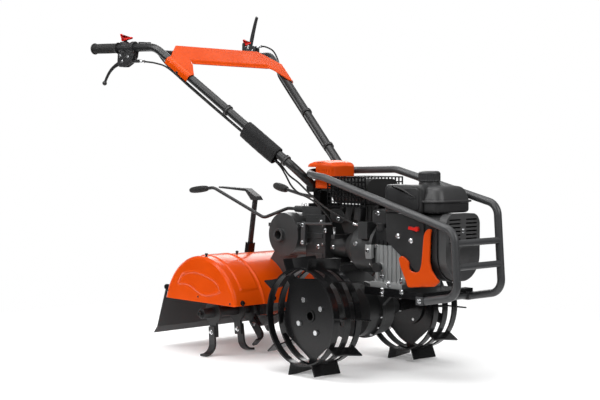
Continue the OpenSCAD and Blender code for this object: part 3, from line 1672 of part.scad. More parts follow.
module tine_shaft() {
  color("gray") placed() translate([rotor_x, 0, rotor_z]) {
    cyl_y(0, 0, -shaft_half, shaft_half, tine_shaft_r);
    cyl_y(0, 0, -sprocket_t / 2, sprocket_t / 2, sprocket_lo);
    for (set = tine_sets) translate([0, set[0], 0]) {
      cyl_y(0, 0, bend_step - holder_t / 2, holder_t / 2 - bend_step, holder_r);
      rotate([0, set[1], 0])
        box(-holder_w / 2, holder_w / 2, -holder_t / 2, holder_t / 2, -holder_out, holder_out);
    }
  }
}

// Section of a tine across the rotor: a straight shank, a bend and a foot
module tine_outline() {
  far = tine_bend + tine_t;
  top = tine_r - far;
  function arc(r) = [for (i = [0 : tine_steps]) let (a = 90 * i / tine_steps)
    [far - r * cos(a), top + r * sin(a)]];
  inner = arc(tine_bend);
  polygon(concat([[0, tine_in]], arc(far), [[tine_reach, tine_r], [tine_reach, tine_r - tine_t]],
    [for (i = [tine_steps : -1 : 0]) inner[i]], [[tine_t, tine_in]]));
}

module tine_blades() {
  color("#222222") placed() translate([rotor_x, 0, rotor_z])
    for (set = tine_sets, turn = [0, 180])
      rotate([0, set[1] + turn, 0]) translate([0, set[0], 0])
        mirror([0, set[2] < 0 ? 1 : 0, 0]) translate([-tine_w / 2, holder_t / 2 + run_gap, 0])
          rotate([90, 0, 90]) linear_extrude(tine_w) tine_outline();
}

module depth_bar() {
  color("#2a2a2a") placed() {
    depth_hole(0, -depth_down, depth_up);
    plate_y(-depth_grip, depth_grip) polygon([for (p = depth_path) [depth_high[0], depth_high[2]] + p]);
  }
}

module depth_guide() {
  color("#1a1a1a") placed() difference() {
    depth_hole(depth_wall, -depth_foot, guide_h);
    depth_hole(run_gap, -depth_cut, guide_h + over);
    cyl_y(hood_x, rotor_z, -hood_mid, hood_mid, hood_r + run_gap);
  }
}

right_wheel();
left_wheel();
wheel_hubs();
wheel_bolts();
drive_axle();
axle_gear();
lay_pinion();
axle_bearings();
final_case_right();
final_case_left();
gearbox_case();
gearbox_cover();
bell_housing();
rear_case();
rotor_leg();
drive_sprocket();
rotor_chain();
case_bolts();
engine_plate();
crankcase();
cylinder_head();
crankshaft();
flywheel();
clutch_drum();
fan_shroud();
starter_cover();
fuel_tank();
fuel_cap();
air_cleaner();
side_panel();
side_trim();
choke_lever();
oil_cap();
muffler();
muffler_guard();
handle_cover();
guard_loop();
guard_feet();
handle_bracket();
handle_frame();
console_panel();
hand_grips();
control_brackets();
cable_sleeve();
cables();
right_lever();
left_lever();
right_latch();
left_latch();
throttle_lever();
shift_lever();
range_lever();
hood_center();
hood_wings();
flap_hinge();
rear_flap();
tine_shaft();
tine_blades();
depth_bar();
depth_guide();
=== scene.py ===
import math

import bmesh
import bpy
import numpy as np
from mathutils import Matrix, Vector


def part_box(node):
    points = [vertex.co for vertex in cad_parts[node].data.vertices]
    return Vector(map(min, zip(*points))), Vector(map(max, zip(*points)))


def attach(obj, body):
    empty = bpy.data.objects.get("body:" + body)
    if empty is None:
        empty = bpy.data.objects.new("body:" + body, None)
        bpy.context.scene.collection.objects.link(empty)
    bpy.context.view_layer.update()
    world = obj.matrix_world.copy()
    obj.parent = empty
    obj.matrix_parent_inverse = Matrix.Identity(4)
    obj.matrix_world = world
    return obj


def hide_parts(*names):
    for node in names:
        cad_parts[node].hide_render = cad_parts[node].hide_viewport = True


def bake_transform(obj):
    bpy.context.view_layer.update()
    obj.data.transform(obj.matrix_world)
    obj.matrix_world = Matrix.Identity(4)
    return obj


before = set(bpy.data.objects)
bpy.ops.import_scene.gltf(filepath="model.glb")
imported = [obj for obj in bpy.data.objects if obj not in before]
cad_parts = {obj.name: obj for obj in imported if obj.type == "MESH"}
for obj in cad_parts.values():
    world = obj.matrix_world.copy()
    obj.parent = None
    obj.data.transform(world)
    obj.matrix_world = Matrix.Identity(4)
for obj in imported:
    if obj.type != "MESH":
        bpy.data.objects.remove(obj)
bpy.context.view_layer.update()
axleLow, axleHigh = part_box("drive_axle")
axleX = (axleLow.x + axleHigh.x) / 2  # millimetres below are counted from the axle's middle, on the ground
print("frame loaded:", len(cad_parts), "nodes")


# camera: fitted to the photograph, with the horizon level
photoView = {"eye": (2.8104, -2.9011, 0.7190), "yaw": 137.169, "pitch": -2.2065,
             "lens": 71.641, "sensor": 36.0}


def makeCamera(v):
    data = bpy.data.cameras.new("photoCamera")
    data.lens = v["lens"]
    data.sensor_width = v["sensor"]
    camera = bpy.data.objects.new("photoCamera", data)
    camera.location = (v["eye"][0] + axleX, v["eye"][1], v["eye"][2])
    camera.rotation_euler = (math.radians(90 + v["pitch"]), 0, math.radians(v["yaw"] - 90))
    bpy.context.scene.collection.objects.link(camera)
    bpy.context.scene.camera = camera


makeCamera(photoView)


# shader maths: one output of a node, so that Python sums add Math nodes
class Flow:
    def __init__(self, tree, socket):
        self.tree = tree
        self.socket = socket

    def sums(self, operation, *terms):
        made = self.tree.nodes.new("ShaderNodeMath")
        made.operation = operation
        for slot, term in zip(made.inputs, terms):
            if isinstance(term, Flow):
                self.tree.links.new(term.socket, slot)
            else:
                slot.default_value = term
        return Flow(self.tree, made.outputs[0])

    def __add__(self, other):
        return self.sums("ADD", self, other)

    def __sub__(self, other):
        return self.sums("SUBTRACT", self, other)

    def __rsub__(self, other):
        return self.sums("SUBTRACT", other, self)

    def __mul__(self, other):
        return self.sums("MULTIPLY", self, other)

    def __gt__(self, other):
        return self.sums("GREATER_THAN", self, other)

    __radd__ = __add__
    __rmul__ = __mul__

    def clip(self):
        return self.sums("MINIMUM", self.sums("MAXIMUM", self, 0.0), 1.0)

    def sine(self):
        return self.sums("SINE", self)


class Nodes:
    def __init__(self, tree):
        self.tree = tree

    # settings first, because some of them change the sockets
    def node(self, kind, settings=None, values=None, out=0):
        made = self.tree.nodes.new("ShaderNode" + kind)
        for key, value in (settings or {}).items():
            setattr(made, key, value)
        for key, value in (values or {}).items():
            if isinstance(value, Flow):
                self.tree.links.new(value.socket, made.inputs[key])
            else:
                made.inputs[key].default_value = value
        return Flow(self.tree, made.outputs[out])


# one material, with its even values on the shader's own sockets
class Finish(Nodes):
    def __init__(self, name, fixed):
        self.mat = bpy.data.materials.new(name)
        self.mat.use_nodes = True
        super().__init__(self.mat.node_tree)
        self.shader = self.tree.nodes["Principled BSDF"]
        for socket, value in fixed.items():
            self.shader.inputs[socket].default_value = value

    def feed(self, socket, flow):
        self.tree.links.new(flow.socket, self.shader.inputs[socket])

    def place(self):
        return self.node("TexCoord", out="Object")

    def part(self, axis):
        return self.node("SeparateXYZ", None, {0: self.place()}, axis)

    def noise(self, scale, detail, at=None):
        values = {"Vector": at or self.place(), "Scale": scale, "Detail": detail, "Roughness": 0.55}
        return self.node("TexNoise", None, values)

    def cells(self, scale):
        return self.node("TexVoronoi", None, {"Vector": self.place(), "Scale": scale}, "Distance")

    def mix(self, amount, low, high):
        return self.node("Mix", {"data_type": "RGBA"}, {0: amount, 6: low, 7: high}, 2)

    # how far the rounded normal leans from the face's own, which is large along edges: wear on paint, and on
    # castings both wear and a painted highlight
    def edges(self, radius, gain):
        rounded = self.node("Bevel", {"samples": 4}, {"Radius": radius})
        flat = self.node("NewGeometry", out="Normal")
        lean = self.node("VectorMath", {"operation": "DOT_PRODUCT"}, {0: rounded, 1: flat}, "Value")
        return rounded, ((1 - lean) * gain).clip()

    def bump(self, height, depth, normal=None):
        values = {"Height": height, "Distance": depth, "Strength": 1.0}
        if normal:
            values["Normal"] = normal
        self.feed("Normal", self.node("Bump", None, values))


def rgb(r, g, b):
    return (r, g, b, 1.0)


# paint over metal: low waves in the colour, a little orange peel, thin bright edges
def paint(name, look):
    f = Finish(name, {"Coat Weight": look.get("coat", 0.0), "Coat Roughness": 0.15,
                      "IOR": 1.5, "Specular IOR Level": look.get("spec", 0.5)})
    cloud = f.noise(7.0, 4.0)
    rounded, edgeWearAndPaintedHighlight = f.edges(look.get("edge", 0.0012), 2.2) if look.get("edge", 1) else (None, cloud * 0.2)
    fine = f.noise(look.get("grain", 700.0), 2.0)
    chips = (f.noise(160.0, 3.0) * edgeWearAndPaintedHighlight * 1.7 - 0.28).clip()
    base = f.mix((cloud * 1.6 - 0.3).clip(), look["dark"], look["light"])
    f.feed("Base Color", f.mix(chips * look.get("wear", 0.5), base, look["bare"]))
    f.feed("Roughness", (cloud - 0.5) * 0.16 + look["rough"] + fine * 0.03 - edgeWearAndPaintedHighlight * 0.05)
    f.bump(fine, look.get("peel", 0.00003), rounded)
    return f.mat


# sand-cast metal: pebbled skin with darker hollows and edges lightened partly by wear, partly as a painted
# highlight; above a height it may be painted black
def casting(name, look):
    f = Finish(name, {"IOR": 1.5, "Specular IOR Level": 0.45})
    rounded, edgeWearAndPaintedHighlight = f.edges(0.0022, 2.0)
    cloud = f.noise(9.0, 5.0)
    pebble = f.cells(330.0)
    sand = f.noise(620.0, 3.0)
    base = f.mix((cloud * 1.7 - 0.35).clip(), look["dark"], look["light"])
    shade = f.mix((pebble * 1.2).clip() * 0.25, base, look["light"])
    # lighter edges: partly worn metal, partly a painted highlight along the edges
    skin = f.mix((edgeWearAndPaintedHighlight * sand * 1.3).clip() * 0.5, shade, look["bare"])
    bare = look.get("metal", 0.0)
    if "painted" in look:
        above = f.part("Z") + (f.noise(60.0, 2.0) - 0.5) * 0.006 > look["painted"]
        f.feed("Base Color", f.mix(above, skin, rgb(.014, .0143, .015)))
        f.feed("Metallic", (1 - above) * bare)
    else:
        f.feed("Base Color", skin)
        f.shader.inputs["Metallic"].default_value = bare
    f.feed("Roughness", look["rough"] + (sand - 0.5) * 0.2 + (cloud - 0.5) * 0.12)
    f.bump(pebble * 0.5 + sand * 0.7, 0.00022, rounded)
    return f.mat


# turned or plated metal: fine rings round the Y axis
def turned(name, look):
    f = Finish(name, {"Metallic": 1.0})
    rounded, edgeWearAndPaintedHighlight = f.edges(0.0009, 2.0)
    stretch = f.node("Mapping", None, {"Vector": f.place(), "Scale": (60.0, 900.0, 60.0)})
    lines = f.noise(1.0, 3.0, at=stretch)
    cloud = f.noise(30.0, 4.0)
    f.feed("Base Color", f.mix((cloud * 1.5 - 0.3).clip(), look["dark"], look["light"]))
    f.feed("Roughness", look["rough"] + (lines - 0.5) * 0.25 + (cloud - 0.5) * 0.2 - edgeWearAndPaintedHighlight * 0.06)
    f.bump(lines, 0.00006, rounded)
    return f.mat


# moulded plastic: spark-eroded grain, scuffed edges
def moulded(name, look):
    f = Finish(name, {"IOR": 1.48, "Coat Weight": look.get("coat", 0.0), "Coat Roughness": 0.12,
                      "Specular IOR Level": look.get("spec", 0.4)})
    rounded, edgeWearAndPaintedHighlight = f.edges(0.0024, 1.8)
    grain = f.cells(1300.0)
    cloud = f.noise(11.0, 4.0)
    base = f.mix((cloud * 1.5 - 0.25).clip(), look["dark"], look["light"])
    f.feed("Base Color", f.mix(edgeWearAndPaintedHighlight * 0.35, base, look["bare"]))
    f.feed("Roughness", look["rough"] + (cloud - 0.5) * 0.14 + grain * 0.08)
    f.bump(grain, look.get("relief", 0.00012), rounded)
    return f.mat


# rubber: matt, faintly dusty, with flow marks
def rubber(name, look):
    f = Finish(name, {"IOR": 1.45, "Specular IOR Level": 0.3, "Sheen Weight": 0.05, "Sheen Roughness": 0.5})
    cloud = f.noise(22.0, 4.0)
    pores = f.noise(1500.0, 2.0)
    f.feed("Base Color", f.mix((cloud * 1.6 - 0.3).clip(), look["dark"], look["light"]))
    f.feed("Roughness", look["rough"] + (cloud - 0.5) * 0.2)
    f.bump(pores, 0.00008)
    return f.mat


# woven cover: two crossed thread waves, felted fuzz and a faint sheen
def woven(name, look):
    f = Finish(name, {"IOR": 1.45, "Specular IOR Level": 0.2, "Sheen Weight": 0.12, "Sheen Roughness": 0.4})
    warp = (f.part("X") * look["threads"] + f.part("Z") * look["threads"] * 0.77).sine()
    weft = (f.part("Y") * look["threads"] + f.part("Z") * look["threads"] * 0.64).sine()
    fuzz = f.noise(900.0, 3.0)
    cloud = f.noise(26.0, 4.0)
    thread = (warp * weft * 0.5 + 0.5).clip()
    f.feed("Base Color", f.mix((thread * 0.5 + cloud * 0.7 - 0.1).clip(), look["dark"], look["light"]))
    f.feed("Roughness", look["rough"] + (fuzz - 0.5) * 0.2)
    f.bump(thread + fuzz * 0.6, 0.00007)
    return f.mat


finishLooks = {
    "blackPaint": (paint, {"dark": rgb(.0045, .0045, .005), "light": rgb(.009, .009, .0095),
        "bare": rgb(.08, .08, .085), "rough": .19, "coat": .06, "wear": .2, "spec": .27}),
    "tineSteel": (paint, {"dark": rgb(.012, .012, .0125), "light": rgb(.024, .024, .025),
        "bare": rgb(.18, .18, .19), "rough": .42, "wear": .7, "peel": .0003, "grain": 380.0}),
    "guardTube": (paint, {"dark": rgb(.046, .047, .049), "light": rgb(.058, .059, .061),
        "bare": rgb(.12, .12, .12), "rough": .38, "wear": .2, "edge": 0, "peel": .00001}),
    "handleTube": (paint, {"dark": rgb(.011, .0113, .012), "light": rgb(.016, .0164, .017),
        "bare": rgb(.08, .08, .08), "rough": .36, "wear": .2, "edge": 0, "peel": .00001}),
    "leverTube": (paint, {"dark": rgb(.012, .012, .0125), "light": rgb(.019, .019, .02),
        "bare": rgb(.08, .08, .08), "rough": .4, "wear": .2, "edge": 0, "peel": .00001}),
    "flapSheet": (paint, {"dark": rgb(.020, .020, .021), "light": rgb(.034, .034, .035),
        "bare": rgb(.11, .11, .11), "rough": .45, "wear": .5, "grain": 300.0}),
    "orangePaint": (paint, {"dark": rgb(.64, .060, .0008), "light": rgb(.72, .076, .0012),
        "bare": rgb(.78, .10, .010), "rough": .22, "wear": .15, "spec": .2, "edge": .0008,
        "peel": .000006}),
    "mufflerPaint": (paint, {"dark": rgb(.008, .008, .008), "light": rgb(.018, .017, .0165),
        "bare": rgb(.09, .08, .075), "rough": .55, "wear": .6, "grain": 260.0}),
    # the castings' bare colour lightens their edges, partly as worn metal and partly as a painted highlight
    "caseGrey": (casting, {"dark": rgb(.024, .0245, .025), "light": rgb(.056, .057, .058),
        "bare": rgb(.17, .17, .175), "rough": .34}),
    "caseBlack": (casting, {"dark": rgb(.007, .007, .0075), "light": rgb(.017, .0175, .018),
        "bare": rgb(.10, .10, .105), "rough": .40}),
    "dieCast": (casting, {"dark": rgb(.34, .35, .35), "light": rgb(.50, .51, .51), "metal": .55,
        "bare": rgb(.76, .77, .77), "rough": .38, "painted": .424}),
    "axleSteel": (turned, {"dark": rgb(.14, .14, .145), "light": rgb(.27, .27, .28), "rough": .36}),
    "brightZinc": (turned, {"dark": rgb(.66, .67, .68), "light": rgb(.84, .85, .86), "rough": .24}),
    "engineBlack": (moulded, {"dark": rgb(.018, .018, .0185), "light": rgb(.032, .032, .033),
        "bare": rgb(.07, .07, .072), "rough": .32}),
    "starterGrey": (moulded, {"dark": rgb(.058, .058, .059), "light": rgb(.088, .088, .089),
        "bare": rgb(.14, .14, .14), "rough": .34}),
    # fuel tank and cap: a lighter copy of the engine plastic; the extra lightness is a painted highlight of
    # the tank's lit top
    "tankPlasticPaintedHighlight": (moulded, {"dark": rgb(.034, .034, .035), "light": rgb(.052, .052, .053),
        "bare": rgb(.09, .09, .092), "rough": .3}),
    "orangeShell": (moulded, {"dark": rgb(.64, .060, .0008), "light": rgb(.72, .076, .0012),
        "bare": rgb(.78, .10, .010), "rough": .36, "coat": .05, "spec": .2, "relief": .00004}),
    "redTab": (moulded, {"dark": rgb(.62, .012, .008), "light": rgb(.75, .02, .012),
        "bare": rgb(.85, .1, .08), "rough": .3, "coat": .2, "relief": .00004}),
    "gripRubber": (rubber, {"dark": rgb(.011, .011, .011), "light": rgb(.022, .022, .022), "rough": .6}),
    "cableSheath": (rubber, {"dark": rgb(.006, .006, .006), "light": rgb(.012, .012, .012),
        "rough": .45}),
    "sleeveCloth": (woven, {"dark": rgb(.010, .010, .0105), "light": rgb(.026, .026, .027), "rough": .7,
        "threads": 5200.0}),
}
finishes = {name: maker(name, look) for name, (maker, look) in finishLooks.items()}

wears = {
    "blackPaint": ["right_wheel", "left_wheel", "engine_plate", "muffler_guard", "depth_guide",
                   "control_brackets", "handle_bracket", "flap_hinge", "wheel_hubs"],
    "tineSteel": ["tine_blades", "tine_shaft"],
    "axleSteel": ["drive_axle", "axle_gear", "lay_pinion", "drive_sprocket", "rotor_chain", "crankshaft",
                  "flywheel", "clutch_drum"],
    "brightZinc": ["wheel_bolts", "axle_bearings", "case_bolts"],
    "caseGrey": ["gearbox_case", "gearbox_cover", "bell_housing", "rear_case", "rotor_leg"],
    "caseBlack": ["final_case_right", "final_case_left"],
    "dieCast": ["crankcase", "cylinder_head"],
    "engineBlack": ["fan_shroud", "air_cleaner", "side_panel", "oil_cap", "throttle_lever"],
    "starterGrey": ["starter_cover"],
    "tankPlasticPaintedHighlight": ["fuel_tank", "fuel_cap"],
    "orangeShell": ["side_trim", "handle_cover"],
    "redTab": ["choke_lever", "right_latch", "left_latch"],
    "mufflerPaint": ["muffler"],
    "guardTube": ["guard_loop", "guard_feet"],
    "handleTube": ["handle_frame"],
    "leverTube": ["shift_lever", "range_lever", "depth_bar", "right_lever", "left_lever"],
    "orangePaint": ["console_panel", "hood_center", "hood_wings"],
    "gripRubber": ["hand_grips"],
    "sleeveCloth": ["cable_sleeve"],
    "cableSheath": ["cables"],
    "flapSheet": ["rear_flap"],
}
for finish, nodeNames in wears.items():
    for nodeName in nodeNames:
        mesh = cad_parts[nodeName].data
        mesh.materials.clear()
        mesh.materials.append(finishes[finish])
print("finishes on CAD nodes:", sum(len(v) for v in wears.values()))


# millimetres from the axle to metres in the frame
def place(points):
    moved = np.array(points, float) / 1000
    moved[..., 0] += axleX
    return moved


def unit(v):
    v = np.array(v, float)
    return v / np.linalg.norm(v, axis=-1, keepdims=True)


# quads between neighbours on a grid of points, whose last column meets its first; loop joins the last row to
# the first, and ends closes the first and last rows with flat faces
def patch(grid, loop=False, ends=False):
    rows, cols = grid.shape[:2]
    i, j = np.meshgrid(np.arange(rows if loop else rows - 1), np.arange(cols), indexing="ij")
    down, right = (i + 1) % rows, (j + 1) % cols
    corners = [i * cols + j, i * cols + right, down * cols + right, down * cols + j]
    quads = np.stack(corners, -1).reshape(-1, 4)
    caps = [np.arange(cols), np.arange(cols) + (rows - 1) * cols] if ends else []
    return grid.reshape(-1, 3), quads, caps


# from 0 to 1 with a level start and end
def step(x):
    x = np.clip(x, 0, 1)
    return x * x * (3 - 2 * x)


# how a piece looks and moves: an edge that turns by more than the crease angle stays sharp
def dress(finish, slot, body="chassis", crease=38):
    return {"finish": finish, "slot": slot, "body": body, "crease": crease}


# one mesh object from several patches, on its body, with its finish's material
def piece(name, patches, look, replaced=()):
    starts = np.cumsum([0] + [len(p[0]) for p in patches[:-1]])
    points = np.vstack([p[0] for p in patches])
    quads = np.vstack([p[1] + s for p, s in zip(patches, starts)])
    caps = [(cap + s).tolist() for p, s in zip(patches, starts) for cap in p[2]]
    mesh = bpy.data.meshes.new(name)
    mesh.from_pydata(place(points).tolist(), [], quads.tolist() + caps)
    work = bmesh.new()
    work.from_mesh(mesh)
    bmesh.ops.remove_doubles(work, verts=work.verts, dist=2e-6)
    bmesh.ops.dissolve_degenerate(work, dist=1e-6, edges=work.edges)
    bmesh.ops.recalc_face_normals(work, faces=work.faces)
    work.to_mesh(mesh)
    work.free()
    mesh.shade_smooth()
    mesh.set_sharp_from_angle(angle=math.radians(look["crease"]))
    mesh.materials.append(finishes[look["finish"]])
    obj = bpy.data.objects.new(name, mesh)
    bpy.context.scene.collection.objects.link(obj)
    if look["body"]:
        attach(obj, look["body"])
    if replaced:
        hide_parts(*replaced)
    return obj


# corners cut round: each becomes a short curve between points on its two edges
def softened(outline, radius, steps=6):
    p = np.array(outline, float)
    back = np.roll(p, 1, 0) - p
    ahead = np.roll(p, -1, 0) - p
    room = np.minimum(np.linalg.norm(back, axis=1), np.linalg.norm(ahead, axis=1))[:, None] * 0.45
    cut = np.minimum(radius, room)
    a = (p + unit(back) * cut)[:, None]
    b = (p + unit(ahead) * cut)[:, None]
    t = np.linspace(0, 1, steps)[None, :, None]
    return ((1 - t) ** 2 * a + 2 * t * (1 - t) * p[:, None] + t ** 2 * b).reshape(-1, 2)


# the outline moved inwards along the mean of its edges' normals, so walls keep an even distance
def inset(outline, amount):
    edge = unit(np.roll(outline, -1, 0) - outline)
    normal = np.stack([-edge[:, 1], edge[:, 0]], 1)
    before = np.roll(normal, 1, 0)
    share = np.maximum(1 + np.sum(normal * before, 1), 0.4)[:, None]
    return outline + amount * (normal + before) / share


# a plate with round rims: rings of the outline, drawn in by a quarter circle at both faces
def slab(outline, low, high, edge, corner, axes="xzy", steps=5):
    flat = softened(outline, corner) if corner else np.array(outline, float)
    x, y = flat[:, 0], flat[:, 1]
    if np.sum(x * np.roll(y, -1) - y * np.roll(x, -1)) < 0:
        flat = flat[::-1]
    a = np.linspace(0, np.pi / 2, steps)
    draw = edge * (1 - np.sin(a))
    rise = edge * (1 - np.cos(a))
    insets = np.concatenate([draw, draw[::-1]])
    heights = np.concatenate([low + rise, high - rise[::-1]])
    rings = np.stack([inset(flat, d) for d in insets])
    level = np.broadcast_to(heights[:, None, None], rings.shape[:2] + (1,))
    flatGrid = np.concatenate([rings, level], -1)
    order = ["xyz".index(c) for c in axes]
    grid = np.empty_like(flatGrid)
    grid[..., order] = flatGrid
    return patch(grid, ends=True)


# Catmull-Rom curve through the route's points
def smoothRoute(route, per=6):
    p = np.array(route, float)
    p = np.vstack([2 * p[0] - p[1], p, 2 * p[-1] - p[-2]])
    t = np.linspace(0, 1, per, endpoint=False)[None, :, None]
    a, b, c, d = (p[k:len(p) - 3 + k, None] for k in range(4))
    line = 2 * b + (c - a) * t
    curve = 0.5 * (line + (2 * a - 5 * b + 4 * c - d) * t ** 2 + (3 * b - a - 3 * c + d) * t ** 3)
    return np.vstack([curve.reshape(-1, 3), p[-2]])


# circles carried along a route, each square to it
def tube(route, radius, around=12, up=(0, 1, 0)):
    p = np.array(route, float)
    along = unit(np.gradient(p, axis=0))
    side = unit(np.cross(along, up))
    over = np.cross(side, along)
    phi = np.linspace(0, 2 * np.pi, around, endpoint=False)[None, :, None]
    reach = np.broadcast_to(np.asarray(radius, float), len(p))[:, None, None]
    return p[:, None] + reach * (np.cos(phi) * side[:, None] + np.sin(phi) * over[:, None])


# a profile of (radius, height, hexagon share) spun round an axis at each spot
def spun(profile, spots, axis, size=1.0, around=24):
    rows = np.array(profile, float)
    n = unit(axis)
    a = unit(np.cross(n, (0.3, 0.5, 0.81)))
    b = np.cross(n, a)
    phi = np.linspace(0, 2 * np.pi, around, endpoint=False)
    sixth = np.pi / 3
    hexagon = np.cos(sixth / 2) / np.cos(phi % sixth - sixth / 2)
    reach = rows[:, :1] * (1 + rows[:, 2:] * (hexagon[None] - 1))
    circle = np.cos(phi)[:, None] * a + np.sin(phi)[:, None] * b
    local = reach[..., None] * circle + rows[:, 1, None, None] * n
    return [patch(np.array(spot, float) + size * local, ends=True) for spot in np.atleast_2d(spots)]


heads = {
    "hex": [(1.36, -.1, 0), (1.36, .12, 0), (1.30, .2, 0), (1, .2, 1), (1, .78, 1), (.84, .92, 0),
            (.5, .92, 0)],
    "dome": [(1, -.1, 0), (1, .14, 0), (.93, .36, 0), (.72, .56, 0), (.42, .68, 0), (.1, .72, 0)],
    "plug": [(1.25, -.1, 0), (1.25, .22, 0), (1.15, .32, 0), (.82, .32, 1), (.82, .8, 1), (.7, .9, 0),
             (.4, .9, 0), (.36, .7, 0)],
    "knob": [(1.1, -.1, 0), (1.1, .2, 0), (.7, .3, 0), (.7, .9, 0), (1, 1.1, 0), (1, 1.9, 0), (.8, 2.2, 0),
             (.2, 2.3, 0)],
}


# cables: three routes in one sheath mesh
cableSet = {
    "radius": 3.2,
    "clutch": [(-881, -294, 1066), (-850, -290, 1062), (-800, -280, 1054), (-738, -270, 1033),
               (-646, -243, 962), (-553, -216, 891), (-455, -187, 817), (-370, -162, 752), (-285, -138, 687),
               (-262, -124, 650), (-248, -108, 610), (-220, -98, 584), (-180, -94, 570), (-140, -92, 552),
               (-105, -88, 525), (-80, -82, 498), (-68, -76, 470), (-66, -74, 446.5)],
    "throttle": [(-900, -255, 1119), (-870, -252, 1116), (-830, -254, 1098), (-790, -258, 1068),
                 (-739, -260, 1033), (-646, -233, 962), (-554, -206, 891), (-457, -178, 817),
                 (-373, -153, 752), (-287, -128, 687), (-255, -112, 646), (-225, -98, 622), (-190, -96, 598),
                 (-130, -97, 560), (-70, -97, 530), (-10, -94, 506), (30, -86, 490), (57, -80, 484)],
    "left": [(-896, 297, 1152), (-870, 299, 1156), (-840, 302, 1150), (-808, 308, 1132), (-780, 308, 1092),
             (-757, 292, 1056), (-735, 268, 1030), (-646, 238, 962), (-553, 211, 891), (-456, 182, 817),
             (-371, 158, 752), (-290, 134, 690), (-268, 112, 640), (-262, 90, 590), (-272, 64, 552),
             (-262, 46, 526), (-249, 40, 522)],
    "bendFrom": (-285, 0, 690), "bendTo": (-262, 0, 540),
    "look": dress("cableSheath", "rubber_black", None),
    "endLook": dress("brightZinc", "zinc", "handlebar"),
    "stopLook": dress("brightZinc", "zinc"),
}
adjuster = [(5.2, 0, 1), (5.2, 7, 1), (4.2, 8, 0), (4.2, 19, 0), (5.4, 20, 0), (5.4, 24, 0), (3.6, 25, 0)]


def makeCables(v):
    routes = [smoothRoute(v[key]) for key in ("clutch", "throttle", "left")]
    tubes = [patch(tube(r, v["radius"]), ends=True) for r in routes]
    sheath = piece("controlCables", tubes, v["look"], ["cables"])
    tuple(place(v["bendFrom"]))
    tuple(place(v["bendTo"]))
    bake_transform(sheath)
    tops, feet = [], []
    for r in routes:
        tops += spun(adjuster, [r[0]], r[3] - r[0], around=18)
        feet += spun(adjuster, [r[-1]], r[-4] - r[-1], around=18)
    piece("cableAdjusters", tops, v["endLook"])
    piece("cableStops", feet, v["stopLook"])


makeCables(cableSet)
print("cables laid")


# arm and grip frames, as in the CAD source
arm = {"low": np.array((-229.0, -116, 675)), "high": np.array((-800.0, -283, 1113)), "tube": 15.0}
armDir = unit(arm["high"] - arm["low"])
gripCorner = np.array((-1130.0, -330, 1125))
gripDir = unit(gripCorner - arm["high"])
gripSpan = np.linalg.norm(gripCorner - arm["high"])
gripOut = unit(np.cross((0, 0, 1), gripDir))
gripUp = np.cross(gripDir, gripOut)
flip = np.array((1, -1, 1))  # right side to left side


# (along, outwards, up) on the right grip's axis, or on the left one's
def onGrip(points, left=False):
    p = np.asarray(points, float)
    out = arm["high"] + p[..., :1] * gripDir + p[..., 1:2] * gripOut + p[..., 2:3] * gripUp
    return out * flip if left else out


# soft sleeve: the hull of two circles round the arm and the cables, carried along the arm, less a hem and a
# rim at each end and a seam, plus a sag between the ends and creases that run round it
cableSleeve = {
    "start": 74, "length": 163, "big": 22.0, "small": 19.0, "drop": 24.0, "cloth": 4.0,
    "down": (-.5689, -.1664, -.8054), "sag": 1.3,
    "hem": (1.2, 7, 1.6),  # depth, place, width
    "rim": (2.6, 3.5),  # depth, width
    "creases": (0.22, 5.1, 2.2, 1.3),  # height, turns, wander, lead
    "seam": (0.9, 0.045),  # depth, width in radians
    "look": dress("sleeveCloth", "sleeve_fabric", "handlebar", 60),
}


def makeSleeve(v):
    down = unit(v["down"])
    across = np.cross(armDir, down)
    phi = np.linspace(0, 2 * np.pi, 96, endpoint=False)[None]
    s = np.linspace(0, 1, 120)[:, None]
    mm = s * v["length"]
    lean = (v["big"] - v["small"]) / v["drop"]
    onSmall = np.cos(phi) > lean
    ends = np.minimum(mm, v["length"] - mm)
    hemDepth, hemAt, hemWide = v["hem"]
    rimDepth, rimWide = v["rim"]
    rim = rimDepth * np.maximum(0, 1 - ends / rimWide) ** 2
    hem = hemDepth * np.exp(-((ends - hemAt) / hemWide) ** 2) + rim
    height, turns, wander, lead = v["creases"]
    creases = height * np.sin(turns * s * 2 * np.pi + wander * np.sin(phi)) * np.sin(phi + lead * s) ** 2
    sag = v["sag"] * np.sin(np.pi * s) * np.maximum(0, np.cos(phi))
    seam = v["seam"][0] * np.exp(-((phi - np.pi) / v["seam"][1]) ** 2)
    swell = creases + sag - hem - seam

    def ring(offset, move):
        r = np.where(onSmall, v["small"], v["big"]) - offset + move
        x = r * np.cos(phi) + np.where(onSmall, v["drop"], 0)
        y = r * np.sin(phi)
        base = arm["low"] + (v["start"] + mm)[..., None] * armDir
        return base + x[..., None] * down + y[..., None] * across

    grid = np.vstack([ring(0, swell), ring(v["cloth"], 0 * swell)[::-6]])
    sleeve = piece("cableSleeve", [patch(grid, loop=True)], v["look"], ["cable_sleeve"])


makeSleeve(cableSleeve)


# grips: a ringed, faintly swelling barrel between two round flanges, spun round the grip's axis
handGrip = {
    "length": 137, "end": 3, "barrel": 17.8, "bore": 15.2, "swell": 0.7, "plainEnds": (16, 18),
    "rings": (0.55, 4.6),  # depth, pitch
    "innerFlange": (4, 2.6),  # rise, half width
    "bead": (1.6, 7, 2.4),  # rise, place, width
    "outerFlange": 4,
    "dimple": (9, 7.5, 2, 1.5),  # radii of its lip, floor and middle, then depth
    "look": dress("gripRubber", "rubber_black", "handlebar", 50),
}


